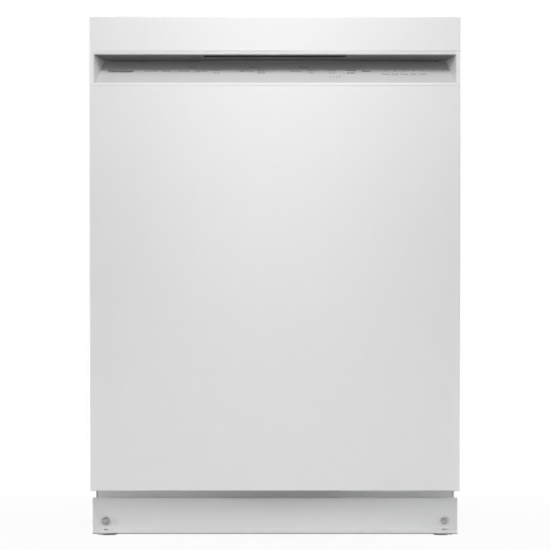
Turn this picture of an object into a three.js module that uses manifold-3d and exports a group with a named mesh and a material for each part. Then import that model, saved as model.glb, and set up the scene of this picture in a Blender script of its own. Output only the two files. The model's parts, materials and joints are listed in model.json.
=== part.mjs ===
// Built-in dishwasher of the 24 in (610 mm) class: front controls in a pocket handle, white door,
// stainless tub with two racks. Millimetres, +Z up, the door faces -Y.
// The origin is on the floor, under the middle of the machine.
import * as THREE from "three";
import { mergeVertices } from "three/addons/utils/BufferGeometryUtils.js";
import Module from "manifold-3d";

const wasm = await Module();
wasm.setup();

// ---------- overall sizes ----------
const doorWidth = 606.4;
const machineDepth = 622.3;
const machineHeight = 860.4;
const doorHeight = 775.9;
const doorBottom = 81.5;
const gap = 0.3; // between pieces that touch
const play = 0.4; // round a turning or sliding piece

// ---------- sheet and wall thicknesses ----------
const skinSheet = 1.2;
const linerSheet = 1.2;
const tubSheet = 1.5;
const railSheet = 2;
const armSheet = 2.5;
const mouldWall = 3;

// ---------- hinge ----------
const hingeSetback = 58; // axis behind the door face
const hingeRise = 26; // axis above the door's lower edge
const hingeDisc = 20;
const hingePin = 4;
const hingeArmHeight = 200;
const springRadius = 7;

// ---------- widths, each from the middle, working inwards ----------
const half = doorWidth / 2;
const railOuter = half - 5.7;
const railInner = railOuter - 31.5;
const frameOuter = railOuter - railSheet - 1;
const hingeArmOuter = railOuter - railSheet - 5.5;
const linerHalf = hingeArmOuter - armSheet - 1;
const tubHalf = linerHalf - 8.5;

// ---------- depths ----------
const front = -machineDepth / 2;
const back = machineDepth / 2;
const doorThickness = 50; // face to the flat rim of the liner
const linerPress = 14; // how far the liner's middle stands into the tub
const sealGap = 6; // between liner rim and tub frame
const frameFront = front + doorThickness + sealGap;
const frameDepth = 20;
const blanketThick = 11;
const hoseRadius = 9.5;
const hoseLane = 25; // room for the drain hose behind the blanket
const tubBack = back - hoseLane - blanketThick - tubSheet - 1.5;
const hingeY = front + hingeSetback;

// ---------- heights ----------
const hingeZ = doorBottom + hingeRise;
const doorTop = doorBottom + doorHeight;
const tubTop = doorTop - 27;
const tubLedge = 118; // wheel track and sill
const tubFloorDrop = 20;
const lipDrop = 12; // the floor's turned-down front edge
const tubFloor = tubLedge - tubFloorDrop;
const bracketSheet = 1.5;
const frameTop = machineHeight - bracketSheet - gap;
const railTop = tubLedge - tubSheet - gap;
const railBottom = 48;
const tubCorner = 25;

// ---------- pocket handle, measured down from the door's top ----------
const bandHeight = 56.8; // steel band above the pocket
const lipHeight = 6;
const lipRadius = 3;
const pocketMouth = 45.3;
const lowerRim = 4.6;
const pocketDepth = 45;
const ceilingDrop = 7.2; // the ceiling falls towards the back
const pocketFrontInset = 6.6; // end wall at the mouth, in from the door's side
const pocketBackInset = 22.2; // end wall at the back
const ventSlotWidth = 234;
const ventSlotFront = 5;
const ventSlotDepth = 13;
const flangeDepth = 44; // the skin's side and bottom returns

// ---------- toe and access panels ----------
const toeSetback = 90;
const toeTop = 64.9;
const toeBottom = 4.8;
const toeReturn = 12;
const hemHeight = 7.6;
const hemStep = 1.2;
const screwX = half - 22.3;
const screwZ = 26.2;
const dishRadius = 8.3;
const dishDepth = 2.2;
const drainNotchZ = 12.1;
const accessGap = 15; // from the toe panel's face to the access panel's
const accessHalf = railOuter - railSheet - 0.8; // just inside the side rails
const accessTop = 94;

// ---------- wash system ----------
const sumpX = 0;
const sumpY = 15;
const sumpHole = 118;
const sumpRadius = 110;
const sumpBottom = 46;
const filterX = 44;
const filterY = sumpY - 36;
const filterRadius = 30;
const lowerArmLength = 228;
const upperArmLength = 225;
const armThick = 13;
const lowerArmZ = tubFloor + 29.6;
const floatX = 196;
const floatY = sumpY - 195;
const floatRadius = 18;

// ---------- racks ----------
const wireSize = 4;
const rackHalf = tubHalf - 22;
const rackFront = frameFront + 29;
const rackBack = tubBack - 28;
const lowerRackZ = tubFloor + 66;
const deepRim = 165;
const upperRackZ = 504;
const shallowRim = 112;
const upperArmZ = upperRackZ - 42;
const feedPortZ = upperRackZ - 10;
const tineHeight = 70;

// ---------- feet ----------
const footPad = 17;
const footRod = 5;
const footX = railInner + 15;
const footFrontY = front + toeSetback + 51;
const footRearY = back - 61;

// =====================================================================
// Shapes. Each helper gives a solid in the axes of the piece it is used in.
// =====================================================================

function solidFrom(geometry) {
  const bare = geometry.clone();
  bare.deleteAttribute("normal");
  bare.deleteAttribute("uv");
  const merged = mergeVertices(bare, 1e-4);
  const corners = merged.index.array;
  const faces = [];
  for (let i = 0; i < corners.length; i += 3) {
    const [a, b, c] = [corners[i], corners[i + 1], corners[i + 2]];
    if (a !== b && b !== c && a !== c) faces.push(a, b, c);
  }
  const build = (triangles) =>
    new wasm.Manifold(
      new wasm.Mesh({
        numProp: 3,
        vertProperties: new Float32Array(merged.attributes.position.array),
        triVerts: new Uint32Array(triangles),
      }),
    );
  const made = build(faces);
  return made.volume() < 0 ? build(faces.reverse()) : made;
}

function geometryFrom(solid) {
  const made = solid.getMesh();
  const geometry = new THREE.BufferGeometry();
  geometry.setAttribute("position", new THREE.BufferAttribute(made.vertProperties, 3));
  geometry.setIndex(new THREE.BufferAttribute(made.triVerts, 1));
  geometry.computeVertexNormals();
  return geometry;
}

const join = (solids) => solids.reduce((whole, next) => whole.add(next));

// A box from its [low, high] along x, y and z.
function block(x, y, z) {
  const geometry = new THREE.BoxGeometry(x[1] - x[0], y[1] - y[0], z[1] - z[0]);
  geometry.translate((x[0] + x[1]) / 2, (y[0] + y[1]) / 2, (z[0] + z[1]) / 2);
  return solidFrom(geometry);
}

// A box whose face at one end of an axis is drawn in by `inset`, as a pressed panel is.
function pressedBlock(x, y, z, axis, inset) {
  const geometry = new THREE.BoxGeometry(x[1] - x[0], y[1] - y[0], z[1] - z[0]);
  const place = geometry.attributes.position;
  const others = ["x", "y", "z"].filter((name) => name !== axis.name);
  for (let i = 0; i < place.count; i++) {
    const point = new THREE.Vector3().fromBufferAttribute(place, i);
    if (Math.sign(point[axis.name]) === axis.end)
      for (const name of others) point[name] -= Math.sign(point[name]) * inset;
    place.setXYZ(i, point.x, point.y, point.z);
  }
  geometry.translate((x[0] + x[1]) / 2, (y[0] + y[1]) / 2, (z[0] + z[1]) / 2);
  return solidFrom(geometry);
}

const outline = (points) => new THREE.Shape(points.map(([u, v]) => new THREE.Vector2(u, v)));

function extruded(shape, length, curveSegments = 6) {
  return new THREE.ExtrudeGeometry(shape, { depth: length, bevelEnabled: false, curveSegments });
}

// Outline in (y, z), pulled along x.
function alongX(shape, x, curveSegments) {
  const geometry = extruded(shape, x[1] - x[0], curveSegments);
  geometry.applyMatrix4(
    new THREE.Matrix4().makeBasis(
      new THREE.Vector3(0, 1, 0),
      new THREE.Vector3(0, 0, 1),
      new THREE.Vector3(1, 0, 0),
    ),
  );
  geometry.translate(x[0], 0, 0);
  return solidFrom(geometry);
}

// Outline in (x, z), pulled along y.
function alongY(shape, y, curveSegments) {
  const geometry = extruded(shape, y[1] - y[0], curveSegments);
  geometry.rotateX(Math.PI / 2);
  geometry.translate(0, y[1], 0);
  return solidFrom(geometry);
}

// Outline in (x, y), pulled along z.
function alongZ(shape, z, curveSegments) {
  const geometry = extruded(shape, z[1] - z[0], curveSegments);
  geometry.translate(0, 0, z[0]);
  return solidFrom(geometry);
}

// A round bar between two points.
function rod(from, to, radius, sides = 12) {
  const a = new THREE.Vector3(...from);
  const b = new THREE.Vector3(...to);
  const way = b.clone().sub(a);
  const geometry = new THREE.CylinderGeometry(radius, radius, way.length(), sides);
  geometry.applyQuaternion(
    new THREE.Quaternion().setFromUnitVectors(new THREE.Vector3(0, 1, 0), way.normalize()),
  );
  const middle = a.add(b).multiplyScalar(0.5);
  geometry.translate(middle.x, middle.y, middle.z);
  return solidFrom(geometry);
}

// A solid of revolution about z, from (radius, height) points that start and end on the axis.
function turned(profile, sides = 24) {
  const points = profile.map(([radius, z]) => new THREE.Vector2(radius, z));
  const geometry = new THREE.LatheGeometry(points, sides);
  geometry.rotateX(Math.PI / 2);
  return solidFrom(geometry);
}

// A round hose or rod bent along a smooth route.
function bent(route, radius, sides, steps) {
  const path = new THREE.CatmullRomCurve3(route.map((p) => new THREE.Vector3(...p)));
  const ring = [];
  for (let i = 0; i < sides; i++) {
    const turn = (2 * Math.PI * i) / sides;
    ring.push([radius * Math.cos(turn), radius * Math.sin(turn)]);
  }
  const geometry = new THREE.ExtrudeGeometry(outline(ring), {
    steps,
    bevelEnabled: false,
    extrudePath: path,
  });
  return solidFrom(geometry);
}

// An upside-down U of the given half width and top, with rounded shoulders, down to `foot`.
function archOutline(halfWide, top, foot, corner) {
  const shape = new THREE.Shape();
  shape.moveTo(halfWide, foot);
  shape.lineTo(halfWide, top - corner);
  shape.absarc(halfWide - corner, top - corner, corner, 0, Math.PI / 2, false);
  shape.lineTo(-halfWide + corner, top);
  shape.absarc(-halfWide + corner, top - corner, corner, Math.PI / 2, Math.PI, false);
  shape.lineTo(-halfWide, foot);
  return shape;
}

// =====================================================================
// Finishes
// =====================================================================

const finish = (color, roughness, metalness) =>
  new THREE.MeshStandardMaterial({ color, roughness, metalness });
const whitePaint = finish(0xf0f0f0, 0.35, 0);
const whiteMoulding = finish(0xececec, 0.4, 0);
const silverFilm = finish(0xb9bbbd, 0.4, 0.3);
const stainless = finish(0xb8babd, 0.3, 1);
const galvanised = finish(0xa3a8ad, 0.45, 1);
const greyPlastic = finish(0x9a9da0, 0.5, 0);
const darkPlastic = finish(0x2b2c2e, 0.55, 0);
const blackRubber = finish(0x1b1b1c, 0.8, 0);
const feltGrey = finish(0xd4d2cc, 0.95, 0);
const coatedWire = finish(0x8f949a, 0.35, 0);
const hoseGrey = finish(0x6e7175, 0.6, 0);
const springSteel = finish(0x6d6f73, 0.35, 1);

// =====================================================================
// Assemblies. Each is a group that the machine would come apart into.
// =====================================================================

const dishwasher = new THREE.Group();
const chassis = new THREE.Group();
const door = new THREE.Group(); // its origin is on the hinge axis
door.position.set(0, hingeY, hingeZ);
const lowerRackGroup = new THREE.Group(); // its origin is in the middle of the rack's floor
lowerRackGroup.position.set(0, sumpY, lowerRackZ);
const upperRackGroup = new THREE.Group();
upperRackGroup.position.set(0, sumpY, upperRackZ);
dishwasher.add(chassis, door, lowerRackGroup, upperRackGroup);

function piece(group, name, solid, material, place = [0, 0, 0]) {
  const mesh = new THREE.Mesh(geometryFrom(solid), material);
  mesh.name = name;
  mesh.position.set(...place);
  group.add(mesh);
}

// Left is -x, seen from the front.
const sides = [
  { name: "left", sign: -1 },
  { name: "right", sign: 1 },
];
const mirrored = (solid, sign) => (sign < 0 ? solid.mirror([1, 0, 0]) : solid);

// =====================================================================
// Chassis
// =====================================================================

function tubWrapper() {
  const y = [frameFront + railSheet + gap, tubBack - gap];
  const outside = archOutline(tubHalf + tubSheet, tubTop + tubSheet, tubLedge + gap, tubCorner + tubSheet);
  const outer = alongY(outside, y);
  const inner = alongY(archOutline(tubHalf, tubTop, tubLedge - 1, tubCorner), [y[0] - 1, y[1] + 1]);
  return outer.subtract(inner);
}

function tubRear() {
  const shape = archOutline(tubHalf + tubSheet, tubTop + tubSheet, tubLedge + gap, tubCorner + tubSheet);
  const plate = alongY(shape, [tubBack, tubBack + tubSheet]);
  const rib = (z) =>
    pressedBlock([-220, 220], [tubBack - 3, tubBack + 1], [z - 22, z + 22], { name: "y", end: -1 }, 4);
  return join([plate, rib(300), rib(700)]);
}

const ledgeWidth = 34;
const panSlope = 28;
const panX = [-tubHalf + ledgeWidth, tubHalf - ledgeWidth];
const panY = [frameFront + 22, tubBack - 16];

// The drawn bottom: a flat ledge all round, a sunk floor, a hole for the sump and a turned-down front lip.
function tubBottom() {
  const bottom = tubLedge - tubSheet;
  const wide = [-tubHalf - tubSheet, tubHalf + tubSheet];
  const rim = block(wide, [frameFront, tubBack + tubSheet], [bottom, tubLedge]);
  const lip = block(wide, [frameFront, frameFront + tubSheet], [tubLedge - lipDrop, tubLedge]);
  const dish = (spread, low, high) =>
    pressedBlock(
      [panX[0] - spread, panX[1] + spread],
      [panY[0] - spread, panY[1] + spread],
      [low, high],
      { name: "z", end: -1 },
      panSlope,
    );
  const outer = dish(tubSheet, tubFloor - tubSheet, tubLedge);
  const inner = dish(0, tubFloor, tubLedge + 0.01);
  const hole = rod([sumpX, sumpY, 0], [sumpX, sumpY, tubLedge], sumpHole, 32);
  return join([rim, lip, outer]).subtract(inner).subtract(hole);
}

function frontFrame() {
  const y = [frameFront, frameFront + frameDepth];
  const foot = tubLedge + 22;
  const outer = alongY(archOutline(frameOuter, frameTop, foot, 8), y, 3);
  const mouth = alongY(archOutline(tubHalf, tubTop, foot - 1, tubCorner), [y[0] - 1, y[1]], 6);
  const channel = alongY(
    archOutline(frameOuter - railSheet, frameTop - railSheet, foot - 1, 6),
    [y[0] + railSheet, y[1] + 1],
    3,
  );
  return outer.subtract(mouth).subtract(channel);
}

function doorGasket() {
  const y = [frameFront - sealGap + play, frameFront - gap];
  const foot = tubLedge + 8;
  const outer = alongY(archOutline(tubHalf + 8, tubTop + 8, foot, tubCorner + 8), y);
  const inner = alongY(archOutline(tubHalf + 0.6, tubTop + 0.6, foot - 1, tubCorner), [y[0] - 1, y[1] + 1]);
  return outer.subtract(inner);
}

function soundBlanket() {
  const inside = tubHalf + tubSheet + 0.5;
  const roof = tubTop + tubSheet + 0.5;
  const foot = tubLedge + 26;
  const y = [frameFront + frameDepth + 3, tubBack + tubSheet + 0.5 + blanketThick];
  const outer = alongY(archOutline(inside + blanketThick, roof + blanketThick, foot, 34), y, 5);
  const inner = alongY(archOutline(inside, roof, foot - 1, 24), [y[0] - 1, y[1] - blanketThick], 5);
  return outer.subtract(inner);
}

// A steel side channel. Its web runs forward and up as the hinge plate, and carries the hinge pin.
function sideRail() {
  const webX = [railOuter - railSheet, railOuter];
  const rearOfToe = front + toeSetback + accessGap + 2;
  const web = alongX(
    outline([
      [rearOfToe, railBottom],
      [back, railBottom],
      [back, railTop],
      [hingeY + 46, railTop],
      [hingeY + 18, 200],
      [hingeY - 9, 200],
      [hingeY - 9, hingeZ - 18],
      [hingeY + 18, hingeZ - 18],
      [hingeY + 22, hingeZ - 12],
      [hingeY + 30, hingeZ - 12],
      [rearOfToe, hingeZ - 30],
    ]),
    webX,
  );
  const topFlange = block([railInner, railOuter], [hingeY + 34, back], [railTop - railSheet, railTop]);
  const bottomFlange = block([railInner, railOuter], [rearOfToe, back], [railBottom, railBottom + railSheet]);
  const pin = rod([linerHalf + 0.5, hingeY, hingeZ], [railOuter, hingeY, hingeZ], hingePin, 16);
  const pinHead = rod([railOuter - 1, hingeY, hingeZ], [railOuter + 1.5, hingeY, hingeZ], hingePin + 3, 16);
  let rail = join([web, topFlange, bottomFlange, pin, pinHead]);
  for (const y of [footFrontY, footRearY])
    rail = rail.subtract(rod([footX, y, 0], [footX, y, railBottom + 5], footRod + play, 16));
  return rail;
}

function crossMember(y) {
  const x = [-railInner + gap, railInner - gap];
  const top = tubFloor - tubSheet - 1;
  const bottom = top - 30;
  const outer = block(x, y, [bottom, top]);
  const t = railSheet;
  const hollow = block([x[0] - 1, x[1] + 1], [y[0] + t, y[1] + 1], [bottom + t, top - t]);
  return outer.subtract(hollow);
}

const accessFace = front + toeSetback + accessGap;

function accessPanel() {
  const x = [-accessHalf, accessHalf];
  const plate = block(x, [accessFace, accessFace + skinSheet], [18, accessTop]);
  const topReturn = block(x, [accessFace, accessFace + 5], [accessTop - skinSheet, accessTop]);
  const holes = sides.map(({ sign }) =>
    rod([sign * screwX, accessFace - 5, screwZ], [sign * screwX, accessFace + 5, screwZ], 2.8, 12),
  );
  return join([plate, topReturn]).subtract(join(holes));
}

// The kick plate: a folded sheet with a hem along its foot and a dished seat for each screw.
function toePanel() {
  const face = front + toeSetback;
  const hemTop = toeBottom + hemHeight;
  const body = alongX(
    outline([
      [face, hemTop + 1.2],
      [face, toeTop - 1],
      [face + 1, toeTop],
      [face + toeReturn, toeTop],
      [face + toeReturn, toeTop - skinSheet],
      [face + skinSheet, toeTop - skinSheet],
      [face + skinSheet, toeBottom],
      [face - hemStep + 0.6, toeBottom],
      [face - hemStep, toeBottom + 0.8],
      [face - hemStep, hemTop],
    ]),
    [-half, half],
  );
  const solids = [body];
  const cuts = [];
  for (const { sign } of sides) {
    const x = sign * screwX;
    const seat = face + dishDepth + skinSheet;
    solids.push(rod([x, face + 0.5, screwZ], [x, seat, screwZ], dishRadius + skinSheet, 24));
    cuts.push(rod([x, face - 1, screwZ], [x, face + dishDepth, screwZ], dishRadius, 24));
    cuts.push(rod([x, face - 1, screwZ], [x, face + 9, screwZ], 2.8, 12));
    cuts.push(block([x - 3.5, x + 3.5], [face - 3, face + 3], [drainNotchZ - 0.9, drainNotchZ + 0.9]));
  }
  return join(solids).subtract(join(cuts));
}

// A washer-head screw along y, its head in the toe panel's dish.
function toeScrew() {
  const seat = dishDepth - gap;
  const head = rod([0, seat - 4.8, 0], [0, seat - 0.8, 0], 4.2, 6);
  const washer = rod([0, seat - 1.2, 0], [0, seat, 0], 5.4, 16);
  const shank = rod([0, seat - 0.5, 0], [0, accessGap + 8, 0], 2.3, 8);
  return join([head, washer, shank]);
}

function sumpHousing() {
  const top = tubFloor - tubSheet - gap;
  return turned([
    [0, sumpBottom],
    [sumpRadius * 0.55, sumpBottom],
    [sumpRadius * 0.8, sumpBottom + 12],
    [sumpRadius, top - 12],
    [sumpRadius, top - 4],
    [sumpHole + 8, top - 4],
    [sumpHole + 8, top],
    [sumpRadius - 3, top],
    [sumpRadius - 3, top - 11],
    [sumpRadius * 0.8 - 3, sumpBottom + 15],
    [sumpRadius * 0.55 - 2, sumpBottom + 3],
    [0, sumpBottom + 3],
  ]);
}

// The perforated plate over the sump, with the arm's riser standing on it.
function coarseFilter() {
  const plate = turned(
    [
      [0, 0.8],
      [sumpHole - 20, 0.8],
      [sumpHole + 7, gap],
      [sumpHole + 7, 2.4],
      [sumpHole - 20, 3.2],
      [19, 3.2],
      [15, 8],
      [15, lowerArmZ - tubFloor - 0.6],
      [0, lowerArmZ - tubFloor - 0.6],
    ],
    28,
  );
  const well = rod(
    [filterX - sumpX, filterY - sumpY, -5],
    [filterX - sumpX, filterY - sumpY, 10],
    filterRadius + 1.5,
    24,
  );
  return plate.subtract(well);
}

function filterCup() {
  const body = turned(
    [
      [0, -26],
      [filterRadius - 6, -26],
      [filterRadius - 3, 0],
      [filterRadius - 3, 4.5],
      [filterRadius + 4, 4.5],
      [filterRadius + 4, 7],
      [filterRadius - 8, 9],
      [0, 9],
    ],
    24,
  );
  const grip = block([-filterRadius + 12, filterRadius - 12], [-3, 3], [8, 20]);
  return body.add(grip);
}

function floatDome() {
  return turned(
    [
      [0, 0],
      [floatRadius, 0],
      [floatRadius, 26],
      [floatRadius - 4, 35],
      [floatRadius - 11, 40],
      [0, 41],
    ],
    20,
  );
}

// A spray arm seen from above: a round hub between two long blades with round tips.
function sprayArm(length, hub, tip) {
  const plan = new THREE.Shape();
  const tipX = length - tip;
  const shoulder = hub + 26;
  plan.absarc(tipX, 0, tip, -Math.PI / 2, Math.PI / 2, false);
  plan.lineTo(shoulder, tip + 5);
  plan.absarc(0, 0, hub, Math.PI / 4, (3 * Math.PI) / 4, false);
  plan.lineTo(-shoulder, tip + 5);
  plan.absarc(-tipX, 0, tip, Math.PI / 2, (3 * Math.PI) / 2, false);
  plan.lineTo(-shoulder, -tip - 5);
  plan.absarc(0, 0, hub, (5 * Math.PI) / 4, (7 * Math.PI) / 4, false);
  plan.lineTo(shoulder, -tip - 5);
  return alongZ(plan, [0, armThick], 7);
}

function lowerSprayArm() {
  const cap = turned(
    [
      [0, armThick - 1],
      [20, armThick - 1],
      [16, armThick + 5],
      [0, armThick + 6],
    ],
    20,
  );
  return sprayArm(lowerArmLength, 30, 17).add(cap);
}

function upperSprayArm() {
  const cap = turned(
    [
      [0, -5],
      [14, -4],
      [17, 1],
      [0, 1],
    ],
    20,
  );
  return sprayArm(upperArmLength, 26, 15).add(cap);
}

// A heating rod that runs round the sunk floor, both ends turned down at the back.
function heatingElement() {
  const x = 158;
  const y = [sumpY - 155, sumpY + 172];
  const bend = 45;
  const z = tubFloor + 10;
  const end = 62;
  const corner = (sx, cy, sy) => [
    [sx * x, cy - sy * bend, z],
    [sx * (x - 0.29 * bend), cy - sy * 0.29 * bend, z],
    [sx * (x - bend), cy, z],
  ];
  const half = [
    [end, y[1], tubFloor + 3],
    [end + 3, y[1], z - 1],
    [end + 18, y[1], z],
    ...corner(1, y[1], 1).reverse(),
    [x, sumpY, z],
    ...corner(1, y[0], -1),
    [0, y[0], z],
  ];
  const other = half
    .slice(0, -1)
    .reverse()
    .map(([px, py, pz]) => [-px, py, pz]);
  return bent([...half, ...other], 4, 6, 64);
}

// The water feed: up the tub's back wall, with a port for the upper rack, then forward under the roof.
function feedTube() {
  const rear = tubBack - 4;
  const frontOfRiser = rear - 13;
  const roof = tubTop - 2;
  const run = alongX(
    outline([
      [rear, tubLedge + 1],
      [rear, roof - 8],
      [rear - 8, roof],
      [sumpY - 16, roof],
      [sumpY - 16, roof - 12],
      [frontOfRiser - 6, roof - 12],
      [frontOfRiser, roof - 18],
      [frontOfRiser, tubLedge + 1],
    ]),
    [-16, 16],
  );
  const port = rod([0, frontOfRiser - 1, feedPortZ], [0, frontOfRiser + 2, feedPortZ], 13, 16);
  const head = rod([0, sumpY, roof - 26], [0, sumpY, roof - 2], 27, 20);
  return join([run, port, head]);
}

function washMotor() {
  const z = 52;
  const start = sumpX - sumpRadius - 19;
  const volute = rod([start + 18, sumpY, z], [start, sumpY, z], 37, 20);
  const can = rod([start + 1, sumpY, z], [start - 84, sumpY, z], 34, 20);
  const boss = rod([start - 83, sumpY, z], [start - 94, sumpY, z], 12, 12);
  const foot = block([start - 70, start - 10], [sumpY - 20, sumpY + 20], [z - 42, z - 30]);
  return join([volute, can, boss, foot]);
}

const pumpX = 55;
const pumpZ = 50;
const pumpFront = front + toeSetback + accessGap + 34; // just behind the front crossmember
const pumpBack = sumpY - sumpRadius - 2;

function drainPump() {
  const can = rod([pumpX, pumpFront, pumpZ], [pumpX, pumpBack - 8, pumpZ], 23, 16);
  const nose = rod([pumpX, pumpBack - 9, pumpZ], [pumpX, pumpBack, pumpZ], 15, 16);
  const outlet = rod([pumpX, pumpFront + 40, pumpZ], [pumpX + 34, pumpFront + 40, pumpZ], 9, 12);
  return join([can, nose, outlet]);
}

const valveX = -215;
const valveY = front + toeSetback + 78;

function inletValve() {
  const body = block([valveX - 24, valveX + 24], [valveY - 20, valveY + 20], [36, 58]);
  const coil = block([valveX - 20, valveX + 8], [valveY - 15, valveY + 15], [57, 84]);
  const port = rod([valveX, valveY, 18], [valveX, valveY, 37], 11, 16);
  const spout = rod([valveX + 17, valveY, 57], [valveX + 17, valveY, 70], 6, 12);
  return join([body, coil, port, spout]);
}

function fillHose() {
  const x = valveX + 17;
  return bent(
    [
      [x, valveY, 71],
      [x, valveY, 77],
      [x - 8, valveY + 34, 86],
      [x - 40, valveY + 90, 88],
      [-tubHalf + 21, valveY + 150, 90],
      [-tubHalf + 20, valveY + 190, 96],
      [-tubHalf + 20, valveY + 200, 108],
      [-tubHalf + 20, valveY + 200, tubLedge - tubSheet - 1],
    ],
    6,
    8,
    18,
  );
}

// From the pump, under the tub to the back, up in a high loop behind the blanket, and down to its outlet.
const loopUpX = 186;
const loopDownX = 118;
const loopTop = 640;
const outletZ = 128;

function drainHose() {
  const y = back - 14.5;
  const start = pumpFront + 40;
  return bent(
    [
      [pumpX + 34 + gap, start, pumpZ],
      [pumpX + 46, start, pumpZ],
      [pumpX + 90, start + 30, pumpZ - 6],
      [pumpX + 130, start + 120, pumpZ - 10],
      [loopUpX + 8, start + 250, pumpZ - 12],
      [loopUpX + 6, y - 75, pumpZ - 14],
      [loopUpX + 3, y - 22, pumpZ - 8],
      [loopUpX + 1, y - 1, pumpZ + 30],
      [loopUpX, y, pumpZ + 100],
      [loopUpX, y, (pumpZ + loopTop) / 2],
      [loopUpX, y, loopTop - 60],
      [loopUpX - 10, y, loopTop - 10],
      [(loopUpX + loopDownX) / 2, y, loopTop + 12],
      [loopDownX + 10, y, loopTop - 10],
      [loopDownX, y, loopTop - 60],
      [loopDownX, y, (outletZ + loopTop) / 2],
      [loopDownX, y, outletZ + 70],
      [loopDownX, y, outletZ],
    ],
    hoseRadius,
    8,
    46,
  );
}

function junctionBox() {
  const x = [165, 245];
  const y = [front + toeSetback + 48, front + toeSetback + 98];
  const shell = block(x, y, [26, 74]);
  const cover = block([x[0] - 3, x[1] + 3], [y[0] - 2, y[0] + 4], [23, 77]);
  return join([shell, cover]);
}

// The strike: a plate on the frame with a slotted tongue that the door's latch takes hold of.
const tongueZ = [doorTop - 16, doorTop - 13];
const tongueReach = 26;

function strikePlate() {
  const face = frameFront - gap;
  const plate = block([-34, 34], [face - 1.8, face], [tongueZ[0] - 2.5, tongueZ[1] + 9]);
  const tongue = block([-17, 17], [face - 1.8 - tongueReach, face - 1], tongueZ);
  const slot = block([-6, 6], [face - 23, face - 10], [tongueZ[0] - 1, tongueZ[1] + 1]);
  return join([plate, tongue]).subtract(slot);
}

// A tab for a screw up into the worktop.
function worktopBracket() {
  const z = [machineHeight - bracketSheet, machineHeight];
  const tab = block([-16, 16], [frameFront + 1, frameFront + 34], z);
  const drop = block([-16, 16], [frameFront + 32.5, frameFront + 34], [z[0] - 9, z[1]]);
  const hole = rod([0, frameFront + 24, z[0] - 1], [0, frameFront + 24, z[1] + 1], 3, 12);
  return join([tab, drop]).subtract(hole);
}

const railRunZ = upperRackZ + 50;

function rackRail() {
  const x = [tubHalf - 8, tubHalf - gap];
  const y = [rackFront - 3, rackBack - 2];
  const bar = block(x, y, [railRunZ, railRunZ + 16]);
  const groove = block([x[0] - 1, x[1] - 2], [y[0] - 1, y[1] - 6], [railRunZ + 3, railRunZ + 13]);
  return bar.subtract(groove);
}

// A balance spring with the cable that leads from it to the hinge disc.
function doorSpring() {
  const cableX = hingeArmOuter - armSheet / 2;
  const z = hingeZ + hingeDisc + 1.8;
  const cable = rod([cableX, hingeY + 2, z], [cableX, -120, z], 1.2, 6);
  const coil = rod([cableX, -126, z], [cableX, 52, z], springRadius, 14);
  const tail = rod([cableX, 50, z], [cableX, 84, z], 1.6, 6);
  return join([cable, coil, tail]);
}

function levellingFoot() {
  return turned(
    [
      [0, 0],
      [footPad - 1.5, 0],
      [footPad, 1.5],
      [footPad, 6],
      [9, 11],
      [9, 16],
      [footRod, 16],
      [footRod, railTop - 14],
      [0, railTop - 14],
    ],
    16,
  );
}

// =====================================================================
// Door. Its axes start on the hinge line.
// =====================================================================

const face = -hingeSetback;
const low = -hingeRise;
const high = low + doorHeight;
const upperSeam = high - bandHeight;
const lipBottom = upperSeam - lipHeight;
const sill = lipBottom - pocketMouth;
const lowerSeam = sill - lowerRim;
const linerFace = face + doorThickness;

function doorSkin() {
  const top = lowerSeam - gap;
  const outer = block([-half, half], [face, face + flangeDepth], [low, top]);
  const inner = block(
    [-half + skinSheet, half - skinSheet],
    [face + skinSheet, face + flangeDepth + 1],
    [low + skinSheet, top + 1],
  );
  return outer.subtract(inner);
}

function topBand() {
  const bottom = upperSeam + gap;
  const deep = doorThickness - 2;
  const outer = block([-half, half], [face, face + flangeDepth], [bottom, high]);
  const inner = block(
    [-half + skinSheet, half - skinSheet],
    [face + skinSheet, face + flangeDepth + 1],
    [bottom - 1, high - skinSheet],
  );
  const roof = block([-half + 6, half - 6], [face + flangeDepth - 2, face + deep], [high - skinSheet, high]);
  return outer.subtract(inner).add(roof);
}

const mouthHalf = half - pocketFrontInset;
const rearHalf = half - pocketBackInset;
const ceilingZ = (y) => lipBottom - (ceilingDrop * (y - face - lipRadius)) / (pocketDepth - lipRadius);

// The moulding between band and skin: lip, ceiling with its vent slot, raked end walls and lower rim.
function pocketMoulding() {
  const deep = face + pocketDepth;
  const lip = new THREE.Shape();
  lip.moveTo(face, upperSeam);
  lip.lineTo(face, lipBottom + lipRadius);
  lip.absarc(face + lipRadius, lipBottom + lipRadius, lipRadius, Math.PI, 1.5 * Math.PI, false);
  lip.lineTo(deep, ceilingZ(deep));
  lip.lineTo(deep, ceilingZ(deep) + mouldWall);
  lip.lineTo(face + mouldWall + 1, lipBottom + mouldWall + 1);
  lip.lineTo(face + skinSheet + gap + mouldWall, upperSeam + 14);
  lip.lineTo(face + skinSheet + gap, upperSeam + 14);
  lip.lineTo(face + skinSheet + gap, upperSeam);
  const inside = half - skinSheet - gap;
  const top = alongX(lip, [-inside, inside], 4);
  const rim = alongX(
    outline([
      [face, lowerSeam],
      [face, sill - 1.5],
      [face + 1.5, sill],
      [face + 5, sill - 2],
      [face + skinSheet + gap + mouldWall, lowerSeam - 12],
      [face + skinSheet + gap, lowerSeam - 12],
      [face + skinSheet + gap, lowerSeam],
    ]),
    [-inside, inside],
  );
  const wall = alongZ(
    outline([
      [half, face],
      [half, face + mouldWall],
      [mouthHalf + mouldWall, face + mouldWall],
      [rearHalf + mouldWall, deep],
      [rearHalf, deep],
      [mouthHalf, face],
    ]),
    [lowerSeam, upperSeam],
  );
  const slot = block(
    [-ventSlotWidth / 2, ventSlotWidth / 2],
    [face + ventSlotFront, face + ventSlotFront + ventSlotDepth],
    [sill + pocketMouth / 2, upperSeam + 2],
  );
  return join([top, rim, wall, wall.mirror([1, 0, 0])]).subtract(slot);
}

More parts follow.
